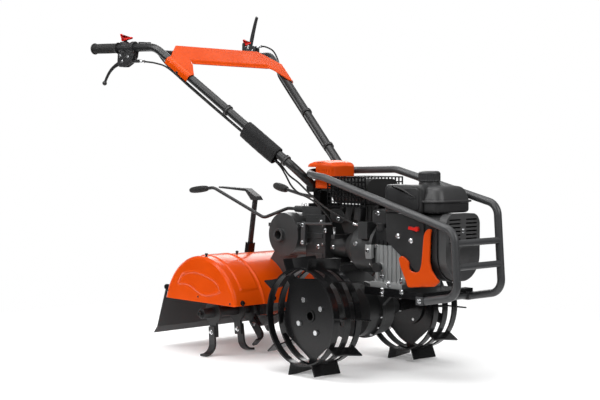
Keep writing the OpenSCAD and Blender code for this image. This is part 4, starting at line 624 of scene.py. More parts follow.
def makeGrips(v):
    total = v["length"] + v["end"]
    d = np.linspace(0, total, 280)
    first, last = v["plainEnds"]
    rings = v["rings"][0] * np.sin(d * 2 * np.pi / v["rings"][1]) * ((d > first) & (d < total - last))
    swell = v["swell"] * np.sin(np.pi * d / total)

    def flange(rise, half, at):
        return rise * np.sqrt(np.clip(1 - ((d - at) / half) ** 2, 0, 1))

    rise, half = v["innerFlange"]
    height, at, wide = v["bead"]
    inner = flange(rise, half, half) + height * np.exp(-((d - at) / wide) ** 2)
    outer = flange(v["outerFlange"], v["outerFlange"], total - v["outerFlange"])
    radius = v["barrel"] + rings + swell + np.maximum(inner, outer)
    lip, floor, middle, depth = v["dimple"]
    low = total - depth
    tip = [(radius[-1] * 0.75, total, 0), (lip, total, 0), (floor, low, 0), (middle, low, 0)]
    profile = np.vstack([[(v["bore"], 0, 0)], np.stack([radius, d, 0 * d], 1), tip])
    start = arm["high"] + gripDir * (gripSpan - v["length"])
    parts = spun(profile, [start], gripDir, around=48)
    parts += spun(profile, [start * flip], gripDir * flip, around=48)
    piece("handGrips", parts, v["look"], ["hand_grips"])


makeGrips(handGrip)


# hand levers: oval bars, carried along a bent route from the pivot's eye to the tip
handLever = {
    "right": [(165, 0, -50), (183, 0, -54), (200, 0, -60), (218, 0, -68), (236, 0, -80), (251, 0, -95),
              (263, 0, -112), (274, 0, -132)],
    "rightReach": [11, 10.5, 8.5, 7.2, 6.8, 6.4, 6.0, 5.8],
    "left": [(150, 0, 35), (146, 0, 52), (139, 0, 75), (128, 0, 105), (116, 0, 135), (104, 0, 160)],
    "leftReach": [10, 12.5, 13.5, 12, 10.5, 8.5], "half": 4.0, "ball": 9.0,
    "eye": [(4.2, -4, 0), (11, -4, 0), (12, -3, 0), (12, 3, 0), (11, 4, 0), (4.2, 4, 0)], "leftEye": 0.84,
    "rightLook": dress("leverTube", "black_paint", "clutch_hand"),
    "leftLook": dress("leverTube", "black_paint", "drive_hand"),
}
ball = [(0.15, -1, 0), (.5, -.87, 0), (.87, -.5, 0), (1, 0, 0), (.87, .5, 0), (.5, .87, 0), (.15, 1, 0)]


def makeLevers(v):
    def bar(route, reach, left):
        fine = smoothRoute(onGrip(route, left), 5)
        radius = np.interp(np.linspace(0, 1, len(fine)), np.linspace(0, 1, len(reach)), reach)
        out = gripOut * flip if left else gripOut
        along = unit(np.gradient(fine, axis=0))
        side = unit(np.cross(along, out))
        phi = np.linspace(0, 2 * np.pi, 20, endpoint=False)[None, :, None]
        oval = radius[:, None, None] * np.cos(phi) * side[:, None] + v["half"] * np.sin(phi) * out
        return patch(fine[:, None] + oval, ends=True)

    right = [bar(v["right"], v["rightReach"], False)]
    right += spun(ball, [onGrip(v["right"][-1])], gripDir, v["ball"])
    right += spun(v["eye"], [onGrip(v["right"][0])], gripOut)
    piece("clutchHandLever", right, v["rightLook"], ["right_lever"])
    left = [bar(v["left"], v["leftReach"], True)]
    left += spun(v["eye"], [onGrip(v["left"][0], True)], gripOut * flip, v["leftEye"])
    piece("driveHandLever", left, v["leftLook"], ["left_lever"])


makeLevers(handLever)


# lever brackets: clamps spun round the bar, rounded cheeks on both sides of each lever, latch posts and arm
# clips; plates are (outline, low, high, rim, corner) across the grip
controlSet = {
    "cheeks": ((-13, -4.7), (4.7, 13)),
    "rightCheek": [(100, -8), (150, -12), (190, -18), (192, -58), (182, -72), (150, -72), (124, -58),
                   (103, -36)],
    "rightRoof": ([(100, -8), (190, -12), (190, -23), (139, -23), (139, -68), (124, -58), (103, -36)], -6, 6),
    "rightBase": ([(157, 8), (180, 8), (180, 20), (176, 23), (161, 23), (157, 20)], -13, 13),
    "rightPost": ([(164, 12), (180, 12), (180, 36), (176, 41), (168, 41), (164, 36)], -13, -6.4, 1.5, 4),
    "leftCheek": [(100, 8), (196, 8), (196, 34), (184, 40), (168, 42), (110, 44), (100, 36)],
    "leftPost": ([(181, 10), (195, 10), (195, 54), (191, 59), (185, 59), (181, 54)], -13, -6.4, 1.5, 4),
    "clamp": [(15.3, 105, 0), (22, 105, 0), (24, 107, 0), (24, 119, 0), (22, 121, 0), (19.5, 122, 0),
              (19.5, 148, 0), (22, 149, 0), (24, 151, 0), (24, 163, 0), (22, 165, 0), (15.3, 165, 0)],
    "clip": [(15.2, 0, 0), (18.5, 0, 0), (19.5, 1, 0), (19.5, 5, 0), (18.8, 6, 0), (18.8, 8, 0), (19.5, 9, 0),
             (19.5, 13, 0), (18.5, 14, 0), (15.2, 14, 0)],
    "clipsRight": (30, 330), "clipsLeft": (112, 330),
    "throttle": [(11, -8, 0), (15, -7.5, 0), (16, -6, 0), (16, 10, 0), (15, 13, 0), (12, 14, 0),
                 (5.2, 14, 0)],
    "throttleAt": (112, -42, 0), "stems": (([(112, -12, 0), (112, -22, 0), (112, -34, 0)], 6.4),
                                           ([(84, 0, -50), (104, 0, -50), (132, 0, -50)], 6.2)),
    "screws": (((165, -50), (134, -34), (176, -30)), ((150, 35), (116, 24))), "screwFace": 13, "screw": 4.2,
    "latch": [(-4, 7), (12, 22), (16, 19), (8, 2), (0, -7), (-46, 1), (-46, 8)],
    "latchSlab": (-5.9, 5.9, 2.4, 5), "stopAt": (172, 33), "lockAt": (188, 52),
    "latchEye": [(4.2, -5.9, 0), (7, -5.9, 0), (8, -5, 0), (8, 5, 0), (7, 5.9, 0), (4.2, 5.9, 0)],
    "look": dress("engineBlack", "black_paint", "handlebar"),
    "screwLook": dress("brightZinc", "zinc", "handlebar", 30),
    "stopLook": dress("redTab", "red_plastic", "stop_latch"),
    "lockLook": dress("redTab", "red_plastic", "lock_latch"),
}


def makeControls(v):
    def plate(outline, low, high, edge=2.2, corner=7, left=False):
        points, quads, caps = slab(outline, low, high, edge, corner)
        return onGrip(points, left), quads, caps

    parts = [plate(*v[key]) for key in ("rightRoof", "rightBase", "rightPost")]
    parts.append(plate(*v["leftPost"], left=True))
    for low, high in v["cheeks"]:
        parts += [plate(v["rightCheek"], low, high), plate(v["leftCheek"], low, high, left=True)]
    parts += spun(v["clamp"], [arm["high"]], gripDir, around=40)
    parts += spun(v["clamp"], [arm["high"] * flip], gripDir * flip, around=40)
    parts += spun(v["throttle"], [onGrip(v["throttleAt"])], gripUp)
    parts += [patch(tube(onGrip(route), radius), ends=True) for route, radius in v["stems"]]
    for t in v["clipsRight"]:
        parts += spun(v["clip"], [arm["low"] + t * armDir], armDir, around=40)
    for t in v["clipsLeft"]:
        parts += spun(v["clip"], [(arm["low"] + t * armDir) * flip], armDir * flip, around=40)
    piece("leverBrackets", parts, v["look"], ["control_brackets"])
    screws = []
    for side in (-1, 1):
        for left, spots in enumerate(v["screws"]):
            axis = side * gripOut * (flip if left else 1)
            for d, z in spots:
                screws += spun(heads["hex"], [onGrip((d, side * v["screwFace"], z), left)], axis, v["screw"])
    piece("bracketScrews", screws, v["screwLook"])

    def latch(name, at, look, node, left):
        tab = plate(np.array(v["latch"], float) + at, *v["latchSlab"], left=left)
        eye = spun(v["latchEye"], [onGrip((at[0], 0, at[1]), left)], gripOut * (flip if left else 1))
        piece(name, [tab] + eye, look, [node])

    latch("stopLatch", v["stopAt"], v["stopLook"], "right_latch", False)
    latch("lockLatch", v["lockAt"], v["lockLook"], "left_latch", True)


makeControls(controlSet)
print("handlebar dressed")


# folded console plate: a grid between its upper and lower edges, bent down over both arms in a round fold
consolePlate = {
    "middle": 545, "low": 12, "high": -104, "tip": -182, "dip": -72, "tipPart": .7, "dipPart": .72, "leg": 8,
    "fold": 19, "skirt": 27, "sheet": 3.0, "bend": 13.0, "bendPart": 1 / 2.2, "gap": 0.3,
    "lip": 5.0, "lipRow": (0.84, 0.12), "lipEnd": (0.78, 0.1),  # from where, and over what share it bends
    "look": dress("orangePaint", "orange_paint", "handlebar", 50),
}


def makeConsole(v):
    middle = arm["low"] + v["middle"] * armDir
    flatLen = np.hypot(armDir[0], armDir[2])
    slope = np.array((-armDir[0], 0, -armDir[2])) / flatLen
    lift = np.array((armDir[2], 0, -armDir[0])) / flatLen
    spread = -armDir[1] / flatLen

    def foldAt(u):
        return -middle[1] - u * spread + v["fold"]

    # c runs across the plate: up to 1 it lies flat, then it turns down the skirt
    flatC = np.linspace(0, 1, 60)
    skirtC = np.linspace(0, 1, 26)[1:]
    c = np.concatenate([flatC, 1 + skirtC])[:, None]
    w = np.linspace(0, 1, 44)[None]
    part = np.minimum(c, 1)
    dipAt = v["dipPart"]
    legAt = 1 - v["leg"] / foldAt(0)
    uLow = v["dip"] + (v["low"] - v["dip"]) * np.clip((part - dipAt) / (legAt - dipAt), 0, 1)
    uHigh = v["tip"] + (v["high"] - v["tip"]) * np.clip((part - v["tipPart"]) / (1 - v["tipPart"]), 0, 1)
    u = uHigh + (uLow - uHigh) * w
    top = arm["tube"] + v["gap"]
    bent = v["bendPart"]

    def sheet(thick):
        r = v["bend"] + thick
        y = part * (foldAt(u) - v["bend"])
        arc = np.clip((c - 1) / bent, 0, 1) * np.pi / 2
        drop = np.clip((c - 1 - bent) / (1 - bent), 0, 1) * (v["skirt"] - v["bend"])
        y = y + r * np.sin(arc)
        z = top - v["bend"] + r * np.cos(arc) - drop
        inRow = np.clip((w - v["lipRow"][0]) / v["lipRow"][1], 0, 1)
        inside = np.clip((v["lipEnd"][0] - part) / v["lipEnd"][1], 0, 1)
        z = z - v["lip"] * step(inRow * inside * (c <= 1))
        return u[..., None] * slope + y[..., None] * np.array((0, 1, 0)) + z[..., None] * lift

    half = np.concatenate([sheet(v["sheet"]), sheet(0)[:, ::-1]], 1)
    grid = np.vstack([(half * flip)[:0:-1], half]) + middle * (1, 0, 1)
    piece("consolePlate", [patch(grid, ends=True)], v["look"], ["console_panel"])


makeConsole(consolePlate)


# hood wings: an arch and a flat end joined by a round edge, with a seam bead, a raised panel and a fan-shaped
# ridge, which is a bell curve of the distance to the fan's outline
hoodWing = {
    "axis": (-522, 153), "radius": 205, "sheet": 2.5, "inside": 160.3, "outside": 300, "round": 14,
    "foot": 195, "footClear": 0.3,
    "bead": (166.3, 6, 4),  # middle, half width, height
    "panel": (180, 264, 26, 102, 3.2),  # side from and to, degrees from and to, height
    "panelSlope": (7, 2.5), "ridge": (2.6, 3.4),
    "fan": [(-640, 254), (-607, 290), (-528, 300), (-438, 279), (-405, 251), (-416, 237), (-497, 225),
            (-579, 254)],
    "look": dress("orangePaint", "orange_paint", crease=50),
}


def makeHood(v):
    low = math.degrees(math.asin((v["foot"] - v["axis"][1]) / v["radius"])) + v["footClear"]
    turn = np.linspace(low, 180 - low, 240)[:, None]
    sin, cos = np.sin(np.radians(turn)), np.cos(np.radians(turn))
    chord = (v["foot"] - v["axis"][1]) / sin
    fan = np.array([(x, 0, z) for x, z in v["fan"]])
    loop = smoothRoute(np.vstack([fan, fan[:1]]), 8)[:, ::2]

    def wall(depth, archN, roundN, faceN):
        r = v["radius"] - depth
        out = v["outside"] - depth
        bend = v["round"] - depth
        a = np.linspace(0, np.pi / 2, roundN)[1:]
        yArch = np.linspace(v["inside"], out - bend, archN)
        y = np.concatenate([yArch, out - bend + bend * np.sin(a), np.full(faceN, out)])[None]
        flat = r - bend
        q = np.linspace(0, 1, faceN + 1)[1:][None]
        reach = np.concatenate([np.full(archN, r), flat + bend * np.cos(a)])[None]
        reach = np.hstack([np.maximum(np.broadcast_to(reach, (len(turn), reach.shape[1])), chord),
                           np.maximum(flat + (chord - flat) * q, chord)])
        y = np.broadcast_to(y, reach.shape).copy()
        return y, reach

    y, reach = wall(0, 56, 10, 66)
    middle, half, high = v["bead"]
    y0, y1, a0, a1, rise = v["panel"]
    onArch = y < v["outside"] - v["round"]
    bead = high * np.sqrt(np.clip(1 - ((y - middle) / half) ** 2, 0, 1))
    side, end = v["panelSlope"]
    inPanel = step((y - y0) / side) * step((y1 - y) / side)
    inPanel = inPanel * step((turn - a0) / end) * step((a1 - turn) / end)
    reach = reach + onArch * (bead + rise * inPanel)
    x = v["axis"][0] + reach * cos
    z = v["axis"][1] + reach * sin
    spots = np.stack([x, z], -1)
    a, b = loop[:-1], loop[1:]
    ab = b - a
    near = np.full(x.shape, 1e9)
    for k in range(len(a)):
        t = np.clip(((spots - a[k]) @ ab[k]) / (ab[k] @ ab[k]), 0, 1)
        near = np.minimum(near, np.linalg.norm(spots - a[k] - t[..., None] * ab[k], axis=-1))
    onFace = y > v["outside"] - 0.01
    y = y + onFace * v["ridge"][0] * np.exp(-(near / v["ridge"][1]) ** 2)
    outer = np.stack([x, y, z], -1)
    yIn, reachIn = wall(v["sheet"], 6, 5, 8)
    inner = np.stack([v["axis"][0] + reachIn * cos, yIn, v["axis"][1] + reachIn * sin], -1)[:, ::-1]
    left = np.concatenate([outer, inner], 1)
    piece("hoodWings", [patch(left, ends=True), patch(left * flip, ends=True)], v["look"], ["hood_wings"])


makeHood(hoodWing)
print("hood pressed")


# handle cover: cross-sections with round shoulders, a lip behind the wall, louvres on both sides
handleCover = {
    "rear": -224, "front": -94, "wall": -188, "foot": 602, "lip": 673.9, "half": 68, "skin": 4,
    "top": [(-224, 677), (-220, 681), (-206, 687), (-184, 693), (-140, 694.5), (-112, 688), (-94, 676)],
    "rearTaper": (40, 26), "noseTaper": (46, 30), "shoulder": 17, "crown": 3.0,
    "lowWall": (44, 24, 22, 40),  # half width at the wall, its growth, over what length, and the least
    "louvre": (2.2, 8.6), "louvreFrom": 24, "louvreMargin": (8, 4),
    "groove": (1.8, 0.5, 0.62, 0.06),  # depth, then from, to and slope as shares of the half width
    "look": dress("orangeShell", "orange_plastic", crease=42),
}


def makeCover(v):
    walls = [v["wall"], v["wall"] + v["skin"], v["front"] - v["skin"]]
    cuts = np.array([s + e for s in walls for e in (-.02, .02)])
    x = np.unique(np.concatenate([np.arange(v["rear"], v["front"] + .1, 1.0), cuts]))[:, None]
    knots = np.array(v["top"])
    top = np.interp(x, knots[:, 0], knots[:, 1])
    foot = np.where(x < v["wall"], v["lip"], v["foot"])

    # a quarter ellipse that narrows an end, by an amount over a length
    def narrowed(far, taper):
        return taper[1] * (1 - np.sqrt(1 - (1 - np.clip(far / taper[0], 0, 1)) ** 2))

    wide = v["half"] - narrowed(x - v["rear"], v["rearTaper"]) - narrowed(v["front"] - x, v["noseTaper"])
    start, growth, over, least = v["lowWall"]
    lowWide = np.minimum(np.clip(start + (x - v["wall"]) / over * growth, least, v["half"]), wide)
    r = np.minimum(v["shoulder"], np.maximum(top - v["lip"], 1) * 0.8)
    k = np.linspace(0, 1, 24)[None]
    zLow = foot + (v["lip"] - foot) * k
    margin, soft = v["louvreMargin"]
    louvres = step((zLow - foot - margin) / soft) * step((v["lip"] - margin - zLow) / soft)
    louvres = louvres * (x > v["wall"] + v["louvreFrom"])
    depth, pitch = v["louvre"]
    wave = np.clip(np.sin((x - v["wall"]) * 2 * np.pi / pitch) * 3, -1, 1) * 0.5 + 0.5
    yLow = lowWide - depth * louvres * wave
    a = np.linspace(0, np.pi / 2, 9)[None]
    m = np.linspace(1, 0, 14)[None, 1:]
    deep, grooveIn, grooveOut, slope = v["groove"]
    crown = v["crown"] * (1 - m ** 2) - deep * step((grooveOut - m) / slope) * step((m - grooveIn) / slope)
    outerY = np.hstack([yLow, wide, wide - r + r * np.cos(a), (wide - r) * m])
    outerZ = np.hstack([zLow, np.full_like(x, v["lip"]), top - r + r * np.sin(a), top + crown])
    hollow = (x > v["wall"] + v["skin"]) & (x < v["front"] - v["skin"])
    roof = np.where(hollow, top - v["skin"], foot)
    innerY = np.hstack([lowWide - v["skin"], lowWide - v["skin"], 0 * x])
    innerZ = np.hstack([foot, roof, roof])

    def half(y, z):
        return np.stack([np.broadcast_to(x, y.shape), y, z], -1)

    outer, inner = half(outerY, outerZ), half(innerY, innerZ)
    grid = np.concatenate([outer * flip, outer[:, -2::-1], inner, (inner * flip)[:, -2::-1]], 1)
    piece("handleCover", [patch(grid, ends=True)], v["look"], ["handle_cover"])


makeCover(handleCover)


# fuel tank: rounded rectangles stacked up to a sloping, crowned top, with a seam lip between its halves
fuelTank = {"middle": (307.5, 0), "half": (92.5, 82), "corner": 30, "leastCorner": 8,
            "levels": [(534, 10), (535, 5), (538, 1.6), (543, 0), (566, 0), (567, -4), (567.6, -6.2),
                       (569, -7), (571.6, -7), (573, -6.2), (573.6, -4), (574, 0), (580, 1.4), (592, 5.4),
                       (602, 9), (608, 12), (612, 15.4), (615, 20), (617, 26), (618.6, 34), (620, 46),
                       (620.6, 58), (621, 70)],
            "neck": [(34, 612, 0), (34, 624, 0), (33, 628, 0), (33, 629.6, 0), (25, 629.6, 0), (25, 624, 0)],
            "capAt": (290, 0, 0),
            "cap": [(25, 631), (33, 630.4), (35.2, 632), (35.6, 635), (35.6, 654), (35, 658), (33, 661.5),
                    (29, 664), (23, 665), (20, 664), (18, 662.6), (6, 662.2)],
            "ribs": 26, "ribDepth": 1.5, "ribFrom": 633, "ribTo": 657, "ribRadius": 34,
            "look": dress("tankPlasticPaintedHighlight", "engine_plastic", crease=50),
            "capLook": dress("tankPlasticPaintedHighlight", "engine_plastic", "tank_cap", 50)}


def makeTank(v):
    z, draw = np.array(v["levels"]).T[:, :, None]
    phi = np.linspace(0, 2 * np.pi, 160, endpoint=False)[None]
    r = np.maximum(v["corner"] - draw * 0.35, v["leastCorner"])
    hx, hy = v["half"][0] - draw, v["half"][1] - draw
    r = np.minimum(r, np.minimum(hx, hy) * 0.9)
    # the corner circles' arcs spread over the whole turn, so each straight side is one long quad
    quarter = np.floor(phi / (np.pi / 2))
    sx = np.where((quarter == 0) | (quarter == 3), 1, -1)
    sy = np.where(quarter < 2, 1, -1)
    x = v["middle"][0] + sx * (hx - r) + r * np.cos(phi)
    y = v["middle"][1] + sy * (hy - r) + r * np.sin(phi)
    grid = np.stack([x, y, np.broadcast_to(z, x.shape)], -1)
    parts = [patch(grid, ends=True)] + spun(v["neck"], [v["capAt"]], (0, 0, 1), around=48)
    piece("fuelTank", parts, v["look"], ["fuel_tank"])
    radius, height = smoothRoute([(a, b, 0) for a, b in v["cap"]], 4).T[:2, :, None]
    turn = np.linspace(0, 2 * np.pi, v["ribs"] * 8, endpoint=False)[None]
    shown = step((height - v["ribFrom"]) / 2) * step((v["ribTo"] - height) / 2) * (radius > v["ribRadius"])
    radius = radius - v["ribDepth"] * shown * step(np.cos(turn * v["ribs"]) * 1.4 + 0.4)
    cap = np.stack([v["capAt"][0] + radius * np.cos(turn), radius * np.sin(turn), height + 0 * turn], -1)
    piece("fuelCap", [patch(cap, ends=True)], v["capLook"], ["fuel_cap"])


makeTank(fuelTank)


# lever knobs: oval rubber grips with two shallow rings, over the levers' ends
leverKnobs = {
    "shiftKnob": {"from": (-637.2, -164.5, 593.2), "to": (-726.4, -180, 583.8), "radius": 12.6,
                  "look": dress("gripRubber", "rubber_black", "shifter", 50)},
    "rangeKnob": {"from": (-411.2, 23.1, 589.4), "to": (-487.7, 28, 603.9), "radius": 14.7,
                  "look": dress("gripRubber", "rubber_black", "ranger", 50)},
}
knobRings = {"depth": 0.5, "turns": 12, "wide": 0.16, "from": 0.3, "to": 0.8, "blunt": 0.45}


def makeKnob(name, v, rings):
    a, b = np.array(v["from"]), np.array(v["to"])
    t = np.linspace(0.002, 0.998, 70)
    radius = v["radius"] * np.sin(np.arccos(1 - 2 * t)) ** rings["blunt"]
    groove = rings["depth"] * np.exp(-((np.sin(t * rings["turns"]) / rings["wide"]) ** 2))
    radius = radius - groove * (t > rings["from"]) * (t < rings["to"])
    grid = tube(a + t[:, None] * (b - a), radius, 32, up=(0, 0, 1))
    piece(name, [patch(grid, ends=True)], v["look"])


for knobName, knob in leverKnobs.items():
    makeKnob(knobName, knob, knobRings)


# plates are (outline, low, high, rim, corner) across the machine
def plates(v):
    return [slab(*plate) for plate in v["plates"]]


# air cleaner: a rounded box with a raised lid
airCleaner = {
    "plates": [([(178, 529), (340, 529), (340, 622), (178, 622)], -92, -45, 9, 18),
               ([(190, 541), (328, 541), (328, 612), (190, 612)], -95, -90, 2.4, 14)],
    "look": dress("engineBlack", "engine_plastic"),
}
piece("airCleaner", plates(airCleaner), airCleaner["look"], ["air_cleaner"])


# heat shields: a plate with a row of pressed ribs, on both sides of the muffler
heatShield = {
    "plate": ([(-64, 488), (-44, 452), (112, 448), (112, 550), (-64, 550)], -50, -44, 1.5, 6),
    "ribs": 9, "firstRib": -50, "pitch": 18, "ribWide": 8, "ribLow": 494, "ribHigh": 545,
    "ribPress": (-54, -47, 2.5, 4), "look": dress("mufflerPaint", "muffler_steel"),
}


def makeShields(v):
    sheet = [slab(*v["plate"])]
    low, high = v["ribLow"], v["ribHigh"]
    for k in range(v["ribs"]):
        a = v["firstRib"] + k * v["pitch"]
        b = a + v["ribWide"]
        sheet.append(slab([(a, low), (b, low), (b, high), (a, high)], *v["ribPress"]))
    piece("heatShield", sheet, v["look"])
    piece("heatShieldLeft", [(points * flip, quads, caps) for points, quads, caps in sheet], v["look"])


makeShields(heatShield)


# side trim: a band with round rims along the starter, and a pad behind it
sideTrim = {
    "from": (348, 404), "face": -93.3, "thick": 6.5, "edge": 3.0, "corner": 7,
    "path": [(-101, -16), (-88, -7), (-74, -12), (-54, -26), (-58, -41), (-49, -53), (-25, -57), (-12, -51),
             (-5, -32), (5, 64), (18, 82), (37, 83), (32, 61), (30, -18), (37, -44), (57, -67), (72, -78),
             (50, -95), (-54, -106), (-62, -104), (-71, -83), (-92, -44)],
    "pad": [(8, -1, 0), (8, 6, 0), (6, 6, 0)], "padAt": (366, -93.3, 440),
    "look": dress("orangeShell", "orange_plastic", crease=45),
}


def makeTrim(v):
    outline = np.array(v["path"], float) + v["from"]
    parts = [slab(outline, v["face"] - v["thick"], v["face"], v["edge"], v["corner"])]
    parts += spun(v["pad"], [v["padAt"]], (0, 1, 0))
    piece("sideTrim", parts, v["look"], ["side_trim"])


makeTrim(sideTrim)


# a raised crescent on the air cleaner's lid
cleanerRelief = {
    "plates": [([(212, 617), (240, 615), (262, 609), (321, 581), (289, 578), (275, 594), (258, 604),
                 (236, 609)], -98.4, -94, 1.8, 6)],
    "look": dress("engineBlack", "engine_plastic"),
}
piece("cleanerRelief", plates(cleanerRelief), cleanerRelief["look"])


# carburettor: two rounded blocks and a spun float bowl
carburettor = {
    "plates": [([(114, 492), (150, 488), (176, 494), (177.5, 538), (150, 542), (114, 536)], -80, -50, 5, 9),
               ([(22, 500), (52, 496), (58, 538), (30, 546)], -74, -40, 3, 5)],
    "bowl": [(3, -26, 0), (12, -25, 0), (17, -20, 0), (18, -4, 0), (20, -3, 0), (20, 2, 0), (14, 4, 0)],
    "bowlAt": (146, -66, 492), "look": dress("engineBlack", "engine_plastic"),
}
bowl = spun(carburettor["bowl"], [carburettor["bowlAt"]], (0, 0, 1))
piece("carburettor", plates(carburettor) + bowl, carburettor["look"])


# stay plates between gearbox and muffler
stayPlates = {
    "plates": [([(-101, 531), (-46, 535), (-27, 512), (-40, 484), (-95, 490)], -64, -58, 1.5, 6),
               ([(-30, 490), (4, 500), (20, 545), (-8, 545)], -72, -67, 1.5, 5)],
    "look": dress("caseBlack", "black_paint"),
}
piece("stayPlates", plates(stayPlates), stayPlates["look"])


# case ledge: a stretch of ring round the crank's axis, turned as far up as down from level
caseLedge = {"height": 404, "inner": 83, "outer": 98, "turn": 16, "from": 98, "to": 125, "edge": 2.5,
             "look": dress("dieCast", "aluminium_cast")}


def makeLedge(v):
    a = np.radians(np.linspace(-v["turn"], v["turn"], 14))
    arc = np.stack([-np.cos(a), np.sin(a)], 1)
    outline = np.vstack([arc * v["inner"], (arc * v["outer"])[::-1]]) + (0, v["height"])
    piece("caseLedge", [slab(outline, v["from"], v["to"], v["edge"], 0, "yzx")], v["look"])


makeLedge(caseLedge)


# link rods: a flat link and a round rod along a route, beside the gearbox
linkRods = {
    "plates": [([(-217, 403), (-196, 403), (-192, 484), (-213, 486)], -94, -84, 2, 6)], "radius": 4.2,
    "rod": [(-274, -90, 476), (-240, -90, 477), (-160, -90, 480), (-100, -90, 482), (-64, -88, 484)],
    "look": dress("guardTube", "steel_dark"),
}
rod = patch(tube(smoothRoute(linkRods["rod"], 4), linkRods["radius"]), ends=True)
piece("linkRods", plates(linkRods) + [rod], linkRods["look"])


# hairpins: one bent wire, at two places
hairpins = {
    "wire": 1.1, "shifts": (0, 14),
    "route": [(-252, -50, 530), (-256, -50, 540), (-251, -50, 547), (-245, -50, 543), (-247, -50, 530),
              (-248, -50, 522)],
    "look": dress("brightZinc", "zinc"),
}


def makeHairpins(v):
    routes = [smoothRoute(np.array(v["route"]) + (dx, 0, 0), 5) for dx in v["shifts"]]
    piece("hairpins", [patch(tube(r, v["wire"], 8), ends=True) for r in routes], v["look"])


makeHairpins(hairpins)
print("engine side dressed")


# side plate on the left: a rounded plate with ribs at its corners, and stepped bearing caps on the cases
sidePlate = {
    "plate": ([(-199, 344), (-77, 344), (-77, 460), (-97, 481), (-186, 481), (-199, 466)], 60, 67, 2.4, 12),
    "cap": [(40, -2, 0), (40, 4, 0), (38, 6.5, 0), (30, 7, 0), (28, 4.5, 0), (15, 4.5, 0), (13, 8, 0),
            (4, 9, 0)],
    "capsAt": [(-138, 67, 408), (-298, 56, 437)],
    "ribs": [((-190, 352), (-166, 384)), ((-86, 352), (-110, 384)), ((-180, 474), (-160, 441)),
             ((-100, 470), (-116, 441))],
    "ribHalf": 3, "ribPress": (65, 71, 2, 2), "look": dress("caseGrey", "case_grey"),
}


def makeSidePlate(v):
    parts = [slab(*v["plate"])] + spun(v["cap"], v["capsAt"], (0, 1, 0), around=48)
    for a, b in np.array(v["ribs"], float):
        off = unit((a[1] - b[1], b[0] - a[0])) * v["ribHalf"]
        parts.append(slab([a - off, b - off, b + off, a + off], *v["ribPress"]))
    piece("sidePlate", parts, v["look"])


makeSidePlate(sidePlate)


# cylinder head: square fins and a rounded cover, each (half length, half width, low, high, rim, corner) in
# the cylinder's own frame, which leans 60 degrees to the left
valveHead = {
    "at": (190, 45, 408), "fins": [(57, 57, d - 1.5, d + 1.5, 1, 9) for d in (102, 109, 116, 122.5)],
    "cover": [(47, 41, 123, 142, 7, 16), (50, 44, 123, 127, 1.5, 18), (33, 3, 139, 145, 2, 3)],
    "boltsAt": (38, 32, 142), "bolt": 4.6, "lean": math.pi / 3,
    "finLook": dress("dieCast", "aluminium_cast"), "look": dress("engineBlack", "engine_plastic"),
}


def makeHead(v):
    sin, cos = math.sin(v["lean"]), math.cos(v["lean"])
    lean = np.array([(1, 0, 0), (0, cos, -sin), (0, sin, cos)])

    def leaning(half, wide, *levels):
        outline = [(-half, -wide), (half, -wide), (half, wide), (-half, wide)]
        points, quads, caps = slab(outline, *levels, "xyz")
        return points @ lean + v["at"], quads, caps

    piece("headFins", [leaning(*fin) for fin in v["fins"]], v["finLook"])
    cover = [leaning(*block) for block in v["cover"]]
    x, y, z = v["boltsAt"]
    for spot in ((-x, -y, z), (-x, y, z), (x, -y, z), (x, y, z)):
        cover += spun(heads["hex"], [spot @ lean + v["at"]], lean[2], v["bolt"])
    piece("valveCover", cover, v["look"])


makeHead(valveHead)


# bolts, rivets, knobs and plugs: spun heads, set on the surfaces they hold; facing gives spots one axis
def facing(axis, *spots):
    return [(spot, axis) for spot in spots]


